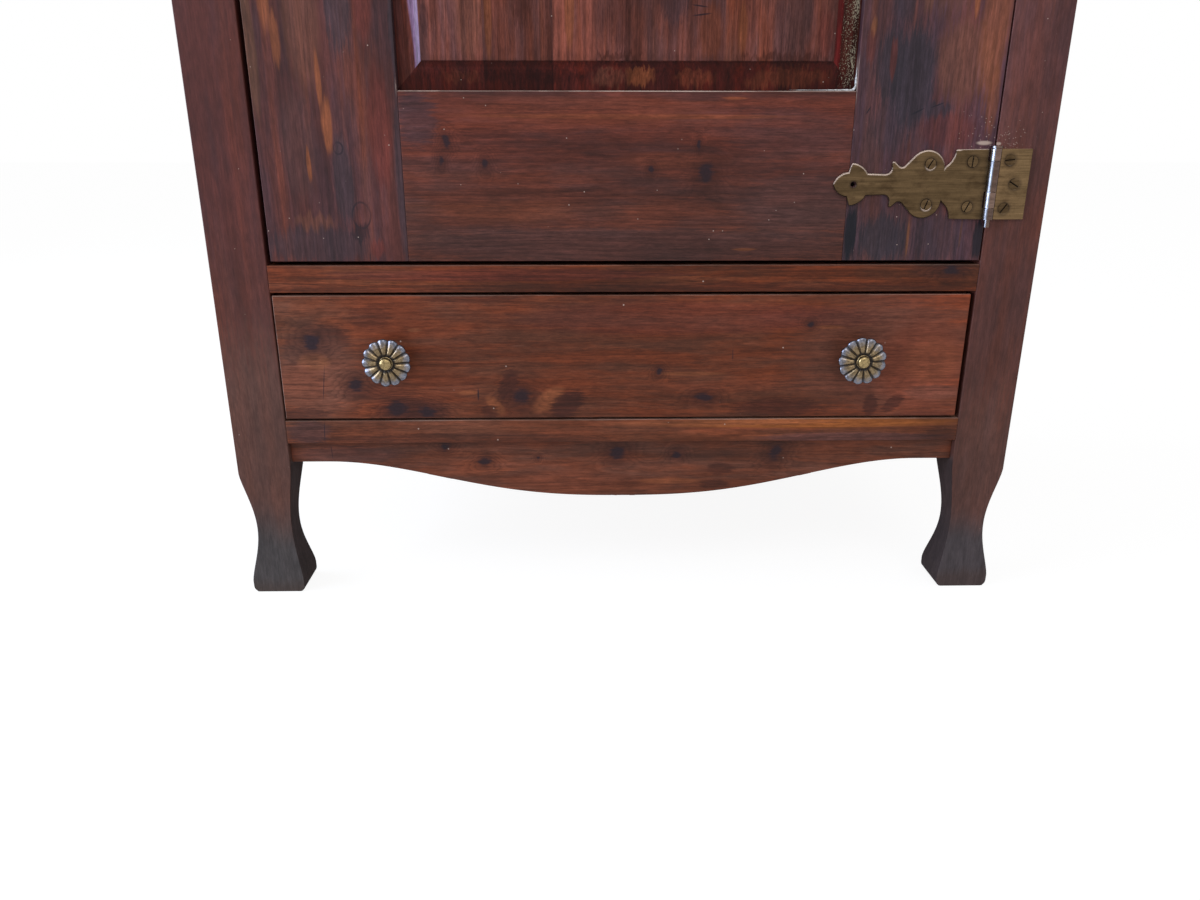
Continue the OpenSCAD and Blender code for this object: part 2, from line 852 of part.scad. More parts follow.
// Runs its children at each knuckle that belongs to the strap (0) or to the leaf (1)
module at_knuckles(owner, grow) {
    for (i = [owner, owner + 2]) {
        z0 = (knuckle_parts[i] - 0.5) * hinge_h;
        z1 = (knuckle_parts[i + 1] - 0.5) * hinge_h;
        low = i == 0 ? 0 : grow;
        high = i == 3 ? 0 : grow;
        translate([0, 0, z0 - low]) linear_extrude(z1 - z0 + low + high) children();
    }
}

// Knuckles, and the waste around the other plate's knuckles, about the pin
module knuckles(owner) {
    translate([axis_x, axis_y, 0]) at_knuckles(owner, -knuckle_gap / 2) circle(r = barrel_r);
}

module knuckle_clearance(owner) {
    side = barrel_r + knuckle_gap;
    translate([axis_x, face_y, 0]) at_knuckles(owner, knuckle_gap / 2)
        translate([-side, -plate_t - eps]) square([2 * side, plate_t + 2 * eps]);
}

module pin_bore() {
    translate([axis_x, axis_y, -hinge_h]) cylinder(r = pin_r + pin_play, h = 2 * hinge_h);
}

// Countersunk hole through a plate at distance u and height v, towards side s
module countersink(u, v, s) {
    translate([axis_x + s * u, face_y - plate_t, v]) rotate([-90, 0, 0])
        cylinder(r1 = screw_head_r + screw_play, r2 = shank_r + screw_play, h = plate_t);
}

// Screw with its slot at the given angle, and the pilot hole that it stands in
module screw(u, v, s, angle) {
    translate([axis_x + s * u, face_y - plate_t, v]) rotate([-90, 0, 0]) difference() {
        union() {
            cylinder(r1 = screw_head_r, r2 = shank_r, h = plate_t);
            cylinder(r = shank_r, h = screw_l);
        }
        rotate([0, 0, angle]) translate([-screw_head_r - eps, -slot_w / 2, -eps])
            cube([2 * (screw_head_r + eps), slot_w, slot_d + eps]);
    }
}

module pilot(u, v, s, length) {
    translate([axis_x + s * u, face_y - eps, v]) rotate([-90, 0, 0])
        cylinder(r = shank_r + screw_play, h = length + eps);
}

module strap_pilots(z) {
    translate([0, 0, z]) {
        for (p = strap_screws_uv) for (v = [-p[1], p[1]]) pilot(p[0], v, -1, screw_l - plate_t + eps);
        pilot(strap_l - tip_hole_in, 0, -1, tip_pilot_l);
    }
}

module leaf_pilots(z) {
    translate([0, 0, z]) for (p = leaf_screws_uv) pilot(p[0], p[1], 1, screw_l - plate_t + eps);
}

module hinge_strap(z) {
    color(brass_colour) translate([0, 0, z]) difference() {
        union() {
            difference() {
                translate([axis_x, face_y, 0]) rotate([90, 0, 0]) linear_extrude(plate_t) strap_outline();
                knuckle_clearance(1);
                for (p = strap_screws_uv) for (v = [-p[1], p[1]]) countersink(p[0], v, -1);
                translate([axis_x - strap_l + tip_hole_in, face_y - plate_t - eps, 0]) rotate([-90, 0, 0])
                    cylinder(r = tip_hole_r, h = plate_t + 2 * eps);
            }
            knuckles(0);
        }
        pin_bore();
    }
}

module hinge_leaf(z) {
    color(brass_colour) translate([0, 0, z]) difference() {
        union() {
            difference() {
                block([axis_x, face_y - plate_t, -hinge_h / 2], [axis_x + leaf_w, face_y, hinge_h / 2]);
                knuckle_clearance(0);
                for (p = leaf_screws_uv) countersink(p[0], p[1], 1);
            }
            knuckles(1);
        }
        pin_bore();
    }
}

// Pins of both hinges, with a flat head over the barrel
module hinge_pins() {
    top = hinge_h / 2 + knuckle_gap;
    color(brass_colour) for (z = hinge_zs) translate([axis_x, axis_y, z]) {
        translate([0, 0, -hinge_h / 2 - pin_below]) cylinder(r = pin_r, h = top + hinge_h / 2 + pin_below);
        translate([0, 0, top]) cylinder(r = pin_head_r, h = pin_head_t);
    }
}

module strap_screws() {
    color(brass_colour) for (z = hinge_zs) translate([0, 0, z])
        for (i = [0, 1]) for (k = [0, 1])
            screw(strap_screws_uv[i][0], (2 * k - 1) * strap_screws_uv[i][1], -1, strap_slots[2 * i + k]);
}

module leaf_screws() {
    color(brass_colour) for (z = hinge_zs) translate([0, 0, z])
        for (i = [0:2]) screw(leaf_screws_uv[i][0], leaf_screws_uv[i][1], 1, leaf_slots[i]);
}

// Rings of a flower knob from its base over the rim to the boss: [radius, height, notch, groove]
function knob_rings() = let (
    base_r = knob_neck_r + knob_hollow_r,
    ring_r = boss_r + boss_ring_w,
    hollow_z = knob_base_t + knob_hollow_r
) concat(
    [[base_r, 0, 0, 0]],
    [for (p = arc([base_r, hollow_z], knob_hollow_r, 270, 165, 4)) [p[0], p[1], 0, 0]],
    [for (p = petal_profile) [
        p[0] * knob_d / 2, knob_out - p[1], p[2] * petal_scallop, p[3] * petal_swell
    ]],
    [
        [ring_r + boss_ring_slope, knob_out - boss_ring_edge, 0, petal_swell / 2],
        [ring_r, knob_out - boss_ring_back, 0, 0],
        [boss_r, knob_out - boss_ring_back, 0, 0]
    ],
    [for (p = arc([0, 0], 1, 0, 72, 4)) [boss_r * p[0], knob_out + boss_rise * (p[1] - 1), 0, 0]]
);

// Flower knob that stands on Z = 0
module flower_knob() {
    rings = knob_rings();
    around = petals * petal_steps;
    last = len(rings) - 1;
    bulge = [for (k = [0:petal_steps - 1]) pow(sin(180 * k / petal_steps), petal_round)];
    points = concat(
        [for (ring = rings) for (j = [0:around - 1]) let (
            b = bulge[j % petal_steps],
            radius = ring[0] - ring[2] * (1 - b),
            a = 360 * j / around
        ) [radius * cos(a), radius * sin(a), ring[1] - ring[3] * (1 - b)]],
        [[0, 0, 0], [0, 0, knob_out]]
    );
    faces = concat(
        [for (i = [0:last - 1]) for (j = [0:around - 1]) let (
            a = i * around + j, b = i * around + (j + 1) % around
        ) each [[a, a + around, b + around], [a, b + around, b]]],
        [for (j = [0:around - 1]) [len(points) - 2, j, (j + 1) % around]],
        [for (j = [0:around - 1])
            [last * around + j, len(points) - 1, last * around + (j + 1) % around]]
    );
    polyhedron(points, faces);
}

module door_knob() {
    color(brass_colour) translate([latch_x, face_y, latch_z]) rotate([90, 0, 0]) flower_knob();
}

// Spindle through the door with its bar, which hangs free at rest and turns behind the stop strip
module latch_bar() {
    color(brass_colour) translate([latch_x, 0, latch_z]) {
        translate([0, face_y, 0]) rotate([-90, 0, 0]) cylinder(r = spindle_r, h = door_t + stop_gap);
        translate([0, door_back_y, 0]) rotate([-90, 0, 0])
            cylinder(r = bar_w / 2, h = bar_y + bar_t - door_back_y);
        block([-bar_w / 2, bar_y, bar_w / 2 - bar_l], [bar_w / 2, bar_y + bar_t, 0]);
        translate([0, bar_y, bar_w / 2 - bar_l]) rotate([-90, 0, 0]) cylinder(r = bar_w / 2, h = bar_t);
    }
}

// Dovetails on the front end of a drawer side
module tails_shape(x0, x1) {
    flare = tail_l * tan(tail_slope);
    root = (tail_step - pin_w) / 2 - flare;
    for (i = [0:tails - 1]) {
        z = drawer_side_z + tail_step * (i + 0.5);
        translate([x0, 0, 0]) rotate([90, 0, 90]) linear_extrude(x1 - x0) polygon([
            [drawer_inner_y + eps, z - root], [drawer_inner_y, z - root],
            [drawer_inner_y - tail_l, z - root - flare], [drawer_inner_y - tail_l, z + root + flare],
            [drawer_inner_y, z + root], [drawer_inner_y + eps, z + root]
        ]);
    }
}

// Drawer bottom, or its groove around the front and the sides when play is given
module drawer_bottom_shape(play) {
    reach = drawer_groove_d - (play > 0 ? 0 : edge_room);
    block(
        [
            drawer_x0 + drawer_side_t - reach,
            drawer_inner_y - reach,
            drawer_bottom_z - play
        ],
        [
            drawer_x1 - drawer_side_t + reach,
            drawer_back_y + play,
            drawer_bottom_z + drawer_bottom_t + play
        ]
    );
}

module drawer_side(x0, x1) {
    color(inner_colour) difference() {
        union() {
            block([x0, drawer_inner_y, drawer_side_z], [x1, drawer_back_y, drawer_side_z + drawer_side_h]);
            tails_shape(x0, x1);
        }
        drawer_bottom_shape(panel_play);
    }
}

module drawer_front() {
    color(drawer_colour) difference() {
        block([drawer_x0, face_y, drawer_z0], [drawer_x1, drawer_inner_y, drawer_z1]);
        tails_shape(drawer_x0 - eps, drawer_x0 + drawer_side_t);
        tails_shape(drawer_x1 - drawer_side_t, drawer_x1 + eps);
        drawer_bottom_shape(panel_play);
        at_drawer_knobs() rotate([180, 0, 0]) translate([0, 0, -eps])
            cylinder(r = shank_r + screw_play, h = knob_screw_l + 2 * eps);
    }
}

module drawer_back() {
    color(inner_colour) block(
        [
            drawer_x0 + drawer_side_t, drawer_back_y - drawer_side_t,
            drawer_bottom_z + drawer_bottom_t
        ],
        [drawer_x1 - drawer_side_t, drawer_back_y, drawer_side_z + drawer_side_h]
    );
}

module drawer_bottom() {
    color(inner_colour) drawer_bottom_shape(0);
}

// Places its children at both drawer knobs, with Z out of the drawer front
module at_drawer_knobs() {
    for (s = [-1, 1]) translate([s * (inner_x - knob_inset), face_y, (drawer_z0 + drawer_z1) / 2])
        rotate([90, 0, 0]) children();
}

module drawer_knobs() {
    color(brass_colour) at_drawer_knobs() {
        flower_knob();
        rotate([180, 0, 0]) cylinder(r = shank_r, h = knob_screw_l);
    }
}

post(-1, -1);  // post_front_left
post(1, -1);  // post_front_right
post(-1, 1);  // post_back_left
post(1, 1);  // post_back_right
apron();
color(drawer_colour) front_rail(rail_low_z, rail_low_z + rail_low_h);  // front_rail_bottom
color(drawer_colour) front_rail(rail_mid_z, floor_top_z);  // front_rail_middle
color(post_colour) front_rail(rail_top_z, post_h);  // front_rail_top
color(inner_colour) back_rail(side_rails[0][0], side_rails[0][1]);  // back_rail_bottom
color(inner_colour) back_rail(side_rails[2][0], side_rails[2][1]);  // back_rail_top
color(post_colour) on_side(-1) side_rail(0);  // side_rail_bottom_left
color(post_colour) side_rail(0);  // side_rail_bottom_right
color(post_colour) on_side(-1) side_rail(1);  // side_rail_middle_left
color(post_colour) side_rail(1);  // side_rail_middle_right
color(post_colour) on_side(-1) side_rail(2);  // side_rail_top_left
color(post_colour) side_rail(2);  // side_rail_top_right
color(door_colour) on_side(-1) side_panel_shape(0, 1, 0);  // side_panel_lower_left
color(door_colour) side_panel_shape(0, 1, 0);  // side_panel_lower_right
color(door_colour) on_side(-1) side_panel_shape(1, 2, 0);  // side_panel_upper_left
color(door_colour) side_panel_shape(1, 2, 0);  // side_panel_upper_right
back_board(0);  // back_board_1
back_board(1);  // back_board_2
back_board(2);  // back_board_3
back_board(3);  // back_board_4
top_board();
cornice_front();
cornice_side(-1);  // cornice_left
cornice_side(1);  // cornice_right
floor_board();
floor_cleats();
drawer_runners();
drawer_guides();
drawer_stops();
hat_shelf();
shelf_cleats();
hanging_rod();
rod_sockets();
door_stop();
door_stile(door_x0, sight_x0);  // door_stile_latch
door_stile(sight_x1, door_x1);  // door_stile_hinge
door_rail(0);  // door_rail_bottom
door_rail(1);  // door_rail_middle
door_rail(2);  // door_rail_top
door_panel(0);  // door_panel_lower
door_panel(1);  // door_panel_upper
hinge_strap(hinge_zs[0]);  // hinge_strap_lower
hinge_strap(hinge_zs[1]);  // hinge_strap_upper
hinge_leaf(hinge_zs[0]);  // hinge_leaf_lower
hinge_leaf(hinge_zs[1]);  // hinge_leaf_upper
hinge_pins();
strap_screws();
leaf_screws();
door_knob();
latch_bar();
drawer_front();
drawer_side(drawer_x0, drawer_x0 + drawer_side_t);  // drawer_side_left
drawer_side(drawer_x1 - drawer_side_t, drawer_x1);  // drawer_side_right
drawer_back();
drawer_bottom();
drawer_knobs();
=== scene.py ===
"""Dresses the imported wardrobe: stained knotty boards, aged brass fittings and a plain white stage."""
import math
import random
from functools import cached_property

import bpy
from bpy.props import FloatProperty, FloatVectorProperty, IntProperty, PointerProperty
from mathutils import Matrix, Vector


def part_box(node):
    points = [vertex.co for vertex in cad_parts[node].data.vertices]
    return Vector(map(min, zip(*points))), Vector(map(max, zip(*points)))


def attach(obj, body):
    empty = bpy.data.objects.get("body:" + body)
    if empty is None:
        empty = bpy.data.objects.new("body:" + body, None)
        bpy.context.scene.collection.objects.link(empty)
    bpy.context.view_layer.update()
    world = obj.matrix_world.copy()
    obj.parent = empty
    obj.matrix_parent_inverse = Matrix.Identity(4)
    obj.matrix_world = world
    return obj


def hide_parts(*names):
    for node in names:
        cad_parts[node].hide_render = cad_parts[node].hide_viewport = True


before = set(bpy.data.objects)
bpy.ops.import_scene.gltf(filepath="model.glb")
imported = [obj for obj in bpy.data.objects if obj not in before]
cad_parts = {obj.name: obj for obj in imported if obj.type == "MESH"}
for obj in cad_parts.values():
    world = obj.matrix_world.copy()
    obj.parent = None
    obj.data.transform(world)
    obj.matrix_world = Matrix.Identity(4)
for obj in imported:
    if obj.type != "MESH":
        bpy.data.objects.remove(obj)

bl_info = {
    "name": "Cedar Wardrobe",
    "version": (1, 0, 0),
    "blender": (4, 5, 0),
    "location": "3D View > Sidebar > Wardrobe",
    "description": "Gives the packed wardrobe its stained wood, aged brass and a white stage",
    "category": "Object",
}

# Sizes in millimetres become metres
MM = 0.001
AXES = {"X": 0, "Y": 1, "Z": 2}
# Wood with a brighter tone than this is bare, without stain
BARE = 0.3
# Steps in the noise from one board's figure and knots to those of the next seed
FIGURE_STEP, KNOT_STEP = (0.731, 1.173, 0.517), (0.37, 0.91, 0.63)
# Edges that turn by more than this are real edges
SHARP = math.radians(32)
# Front face of the hinge plates: the barrel stands in front of it, slots and holes lie behind it
PLATES_Y = -240 * MM
SAME = (1.0, 1.0, 1.0)
# Place of the camera in metres, and its pitch, yaw and roll in degrees
CAMERA_PLACE, CAMERA_TURN = (-0.04166, -1.12785, 0.47820), (19.573, 1.0947, 0.039)
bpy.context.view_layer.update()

# Knots: x, z, half width and half height in mm, and the tilt in degrees
KNOTS = {
    "front_rail_middle": [(318, 345, 8.8, 4.3)],
    "apron": [
        (-185, 164, 5.7, 3.9), (-145, 147, 6.3, 4.5), (-89, 150, 2.1, 2.2), (-6, 155, 8.4, 6.8),
        (56, 153, 5.3, 3.9), (160, 156, 6.5, 10.0, 30),
    ],
    "door_rail_bottom": [
        (-167, 464, 3.4, 5.6, -15), (-172, 448, 2.8, 4.4), (-132, 445, 3.3, 5.3), (23, 440, 2.8, 3.6),
        (75, 437, 7.0, 10.0, 12), (67, 462, 1.9, 4.4),
    ],
    "drawer_front": [
        (-310, 276, 8.5, 8.5), (-270, 231, 7.5, 7.5), (-230, 207, 11, 8.0), (-200, 203, 9.5, 7.0),
        (-105, 220, 8.6, 9.2), (35, 246, 3.4, 3.8), (81, 219, 8.6, 4.6), (184, 293, 3.6, 2.8),
    ],
}
# Stains and streaks: colour, x, z, half width and half height in mm, strength and tilt
MARKS = {
    "front_rail_middle": [
        ("dark", 0, 329, 345, 4.5, 0.35), ("red", -120, 342, 160, 6, 0.45),
        ("dark", 306, 345, 30, 7, 0.5),
    ],
    "front_rail_bottom": [
        ("amber", 200, 190, 140, 5.5, 0.9), ("orange", 100, 191, 110, 3.5, 0.7),
        ("violet", 238, 174, 97, 5.6, 0.7), ("dark", -168, 175, 163, 5, 0.45),
        ("violet", -322, 183, 21, 12.4, 0.6), ("dark", 330, 177, 16, 9, 0.5),
    ],
    "apron": [
        ("dark", 102, 137, 15, 7, 0.6), ("dark", 97, 119, 15, 6, 0.6), ("rust", -56, 125, 74, 11, 0.5),
        ("violet", -289, 156, 56, 9, 0.5), ("orange", 50, 123, 32, 3.4, 0.5),
    ],
    "door_stile_latch": [
        ("tan", -289, 566, 15, 60, 0.6), ("olive", -336, 545, 5.3, 60, 0.7),
        ("violet", -302, 461, 15, 48, 0.5), ("tan", -294, 391, 18, 8, 0.6),
        ("blue", -256, 578, 11, 40, 0.75), ("blue", -264, 429, 9, 40, 0.75),
        ("blue", -292, 370, 48, 17, 0.6), ("blue", -209, 431, 6, 80, 0.7),
        ("blue", -208, 563, 4, 51, 0.85), ("red", -234, 581, 8, 33, 0.7),
        ("red", -226, 475, 10, 52, 0.7), ("red", -237, 368, 7, 9, 0.6), ("black", -252, 382, 8, 8, 0.6),
        ("orange", -320, 588, 5, 34, 0.7), ("orange", -313, 552, 4, 24, 0.7),
        ("orange", -278, 517, 2.6, 24, 0.8), ("orange", -274, 478, 4.6, 23, 0.85),
        ("orange", -294, 444, 2.0, 13, 0.9), ("tan", -300, 900, 14, 160, 0.6),
        ("blue", -230, 1050, 12, 190, 0.6), ("orange", -318, 1240, 4, 80, 0.8),
        ("orange", -250, 1420, 4, 50, 0.8),
    ],
    "door_stile_hinge": [
        ("tan", 306, 534, 26, 34, 0.75), ("tan", 290, 640, 30, 70, 0.6),
        ("violet", 228, 448, 9, 36, 0.5), ("blue", 246, 590, 12, 26, 0.6),
        ("blue", 240, 530, 14, 32, 0.8), ("blue", 262, 518, 20, 46, 0.95),
        ("blue", 246, 480, 20, 26, 0.5), ("blue", 286, 492, 14, 7, 0.8),
        ("blue", 246, 376, 23, 22, 0.8), ("blue", 300, 376, 22, 22, 0.5),
        ("red", 297, 474, 26, 15, 0.4), ("red", 241, 536, 3, 18, 0.7),
        ("orange", 220, 562, 2.6, 9, 0.8), ("red", 219, 545, 4, 16, 0.6),
        ("orange", 330, 566, 12, 70, 0.6), ("orange", 336, 500, 5, 30, 0.5),
        ("orange", 311, 588, 2.7, 16, 0.9), ("tan", 268, 590, 4.4, 18, 0.7),
        ("black", 216, 380, 5.6, 26, 1.0), ("orange", 271, 376, 1.2, 16, 0.7),
        ("tan", 322, 380, 1.0, 12, 0.6), ("black", 339, 376, 5, 18, 0.9),
        ("blue", 250, 900, 18, 200, 0.6), ("orange", 330, 1150, 5, 130, 0.7),
        ("blue", 300, 1400, 16, 120, 0.6),
    ],
    "door_rail_bottom": [
        ("rust", -48, 491, 114, 12, 0.55), ("rust", 42, 448, 48, 7, 0.6),
        ("rust", -104, 401, 62, 11, 0.45), ("violet", 4, 370, 221, 16, 0.6),
        ("dark", 0, 366, 240, 14, 0.3), ("violet", 165, 405, 57, 30, 0.6),
        ("violet", 150, 470, 50, 24, 0.35), ("dark", -31, 408, 28, 17, 0.3),
        ("dark", -131, 471, 23, 5, 0.45), ("blue", -193, 484, 18, 24, 0.6),
        ("dark", -32, 451, 15, 1.8, 0.7), ("orange", 7, 486, 143, 2.2, 0.5),
        ("orange", 97, 502, 9, 1.3, 0.8), ("orange", 117, 366, 10, 1.4, 0.6),
    ],
    "door_panel_lower": [
        ("tan", -141, 574, 12, 40, 0.5), ("orange", -124, 574, 3.1, 44, 0.6),
        ("dark", -95, 590, 9, 30, 0.5), ("dark", -69, 574, 4, 44, 0.5),
        ("orange", -52, 575, 4.0, 30, 0.6), ("dark", -8, 580, 9, 44, 0.5),
        ("blue", 41, 590, 13, 28, 0.6), ("rust", 74, 557, 10, 24, 0.6),
        ("orange", 103, 559, 4.0, 20, 0.6), ("violet", 151, 575, 12, 44, 0.7),
        ("red", 178, 556, 7, 20, 0.5), ("dark", -9, 536, 20, 3.4, 0.6),
        ("dark", 144, 536, 42, 3.4, 0.5), ("black", -180, 566, 4, 12, 0.4),
        ("black", -150, 605, 14, 10, 0.5), ("black", -90, 520, 60, 6, 0.3),
    ],
    "drawer_front": [
        ("dark", -292, 279, 20, 15, 0.7), ("dark", -330, 268, 9, 16, 0.45),
        ("dark", -262, 226, 22, 9, 0.5), ("dark", -215, 205, 34, 12, 0.6),
        ("dark", -152, 320, 48, 6, 0.4), ("dark", -250, 300, 20, 12, 0.4),
        ("rust", -221, 231, 75, 15, 0.4), ("rust", 127, 230, 112, 6, 0.5),
        ("tan", 255, 262, 84, 60, 0.6), ("rust", 298, 251, 44, 44, 0.8),
        ("orange", 310, 255, 26, 24, 0.3), ("tan", 314, 222, 28, 8, 0.6),
        ("tan", -306, 240, 44, 44, 0.6), ("red", 49, 300, 153, 17, 0.35),
        ("red", 190, 300, 60, 12, 0.3), ("dark", -117, 231, 9, 18, 0.75, 20),
        ("orange", -77, 216, 9, 19, 0.95, 52), ("orange", -131, 210, 6, 12, 0.85, -40),
        ("dark", -58, 211, 12, 19, 0.85, 52), ("dark", -137, 203, 8, 8, 0.6),
        ("orange", -208, 288, 6.4, 2.0, 0.8), ("orange", -310, 256, 15, 9, 0.65),
        ("rust", -322, 232, 22, 22, 0.7), ("orange", -158, 224, 9.5, 2.6, 0.9),
        ("orange", 67, 243, 32, 2.0, 0.75), ("orange", 203, 290, 13, 1.8, 0.7),
        ("dark", 158, 207, 43, 9, 0.65), ("dark", 252, 209, 7, 12, 0.75),
        ("dark", 275, 211, 6, 13, 0.65, 48), ("dark", -325, 202, 26, 6, 0.5),
        ("dark", 307, 199, 34, 4, 0.5),
    ],
}
# Cracks: x, z, half width and half height in mm, tilt and colour
CRACKS = {
    "front_rail_bottom": [(-306, 183, 0.5, 12.4, 3)],
    "apron": [(-303, 158, 0.4, 8.2, -3)],
    "door_stile_latch": [(-245, 359, 0.4, 6)],
    "door_stile_hinge": [(222, 491, 0.7, 4.2, 30), (268, 491, 0.9, 7, 62), (286, 497, 7, 0.6, -20)],
    "door_panel_lower": [(64, 578, 8, 0.7, 8), (66, 571, 9, 0.8, -6)],
    "drawer_front": [
        (-302, 234, 0.45, 20, 8), (-148, 222, 0.9, 7), (-179, 229, 23, 0.4, 0, "tan"),
        (108, 263, 0.4, 7), (-106, 272, 7.4, 0.5, 0, "tan"),
    ],
}


def paint(red, green, blue):
    """A colour as it shows on a screen, 0 to 255, as linear light."""
    return tuple(
        c / 12.92 if c <= 0.04045 else ((c + 0.055) / 1.055) ** 2.4
        for c in (red / 255, green / 255, blue / 255)
    )


def varnished(red, green, blue):
    """The stain under a varnish that shows as this colour, without the sheen that lies over it."""
    return tuple(max((c - 0.012) / 0.85, 0.002) for c in paint(red, green, blue))


def tint(name, description, *rgb, kind=paint):
    return FloatVectorProperty(
        name=name, description=description, default=kind(*rgb), subtype="COLOR", size=3, min=0, max=1
    )


def stain(name, description, *rgb):
    return tint(name, description, *rgb, kind=varnished)


def length(name, description, mm):
    return FloatProperty(
        name=name, description=description, default=mm * MM, min=0, unit="LENGTH", precision=4
    )


def amount(name, description, default):
    return FloatProperty(name=name, description=description, default=default, min=0)


class WoodFinish(bpy.types.PropertyGroup):
    post: stain("Posts", "Stain on the posts, the sides and the cornice", 92, 61, 58)
    door: stain("Door", "Stain on the stiles of the door", 90, 58, 57)
    rail: stain("Door rails", "Stain on the rails of the door", 93, 57, 50)
    panel: stain("Panels", "Stain on the raised panels", 101, 61, 54)
    drawer: stain("Drawer", "Stain on the drawer front, its rails and the apron", 102, 58, 43)
    inside: tint("Inside", "Bare wood of the inside, the back and the drawer", 170, 118, 84)
    orange: stain("Orange streaks", "Sapwood that shows through the stain", 134, 80, 56)
    amber: stain("Amber streak", "Bright sapwood in the rail under the drawer", 146, 86, 50)
    tan: stain("Tan streaks", "Paler streaks in the stain", 108, 70, 58)
    olive: stain("Olive streaks", "Faded streaks near the edges", 100, 70, 56)
    rust: stain("Rust streaks", "Warm streaks in the stain", 112, 64, 49)
    red: stain("Red streaks", "Red streaks in the stain", 106, 56, 50)
    violet: stain("Violet veil", "Cool faded parts of the stain", 84, 60, 58)
    grey: stain("Grey veil", "Faded parts of the posts", 98, 75, 70)
    # Painted reflection of the sky on the steep left side of the panels
    sky_reflection: tint("Left cove", "Steep left side of the panels, which mirrors the sky", 144, 116, 150)
    # Painted dark-red reflection on the steep right side of the panels
    red_reflection: tint("Right cove", "Steep right side of the panels", 118, 34, 34)
    wax: tint("Wax", "Crumbs of old wax at the panels", 176, 166, 142)
    blue: stain("Blue stains", "Dark bluish stains", 64, 54, 58)
    black: stain("Black stains", "Almost black stains", 42, 39, 43)
    dark: stain("Dark figure", "Dark figure around knots", 66, 42, 38)
    knot: stain("Knots", "Hearts of the knots", 46, 38, 42)
    dust: tint("Dust", "Pale specks and nicks", 196, 172, 158)
    soot: stain("Feet", "Dirt on the lower end of the feet", 72, 68, 71)
    sole: stain("Soles", "Rubbed lower ends of the feet", 74, 62, 60)
    # Painted shade on the inner faces of the feet
    inner_shade: tint("Inner faces", "Dirt on the inner faces of the feet", 56, 46, 46)
    ring: length("Year rings", "Distance between the year rings", 3.1)
    arris: length("Edge rounding", "Rounding of the edges of the boards", 0.7)
    roughness: amount("Roughness", "Roughness of the old varnish", 0.46)


class BrassFinish(bpy.types.PropertyGroup):
    plate: tint("Plates", "Dull brass of the hinge plates", 98, 79, 56)
    shade: tint("Patina", "Brown patina on the plates", 64, 49, 34)
    # Pale upper edges: part dust and wear, part painted highlight of the light from above
    edge: tint("Edges", "Worn edges and dusty upper edges", 196, 178, 166)
    barrel: tint("Barrel", "Metal of the barrel and the pins", 98, 80, 72)
    # Painted highlight on the side of the barrel that faces left
    barrel_highlight: tint("Worn barrel", "Bare metal on the worn side of the barrel", 126, 130, 140)
    gold: tint("Petals", "Rubbed gold of the petals", 131, 113, 87)
    button: tint("Button", "Bright gold of the button in the middle", 162, 142, 100)
    silver: tint("Rim", "Rubbed grey of the rim", 120, 124, 139)
    groove: tint("Grooves", "Black in the grooves between the petals", 42, 35, 30)
    petals: IntProperty(name="Petals", description="Petals around a knob", default=13, min=5, max=24)
    knob: length("Knob", "Diameter of a knob", 47.5)
    reach: length("Projection", "How far a knob stands out", 27)
    boss: length("Boss", "Radius of the button in the middle of a knob", 5.9)
    arris: length("Strap rounding", "Rounding of the edges of the brass straps", 1.4)


class StageSetup(bpy.types.PropertyGroup):
    floor: length("Floor", "Width of the floor", 24000)
    ambient: amount("Room light", "Even light from all around", 0.56)
    window: amount("Window light", "Brightness of the window on the left", 5.0)
    ceiling: amount("Ceiling light", "Brightness of the light above the camera", 2.0)
    lens: amount("Lens", "Focal length for a 36 mm wide image, in mm", 27.383)


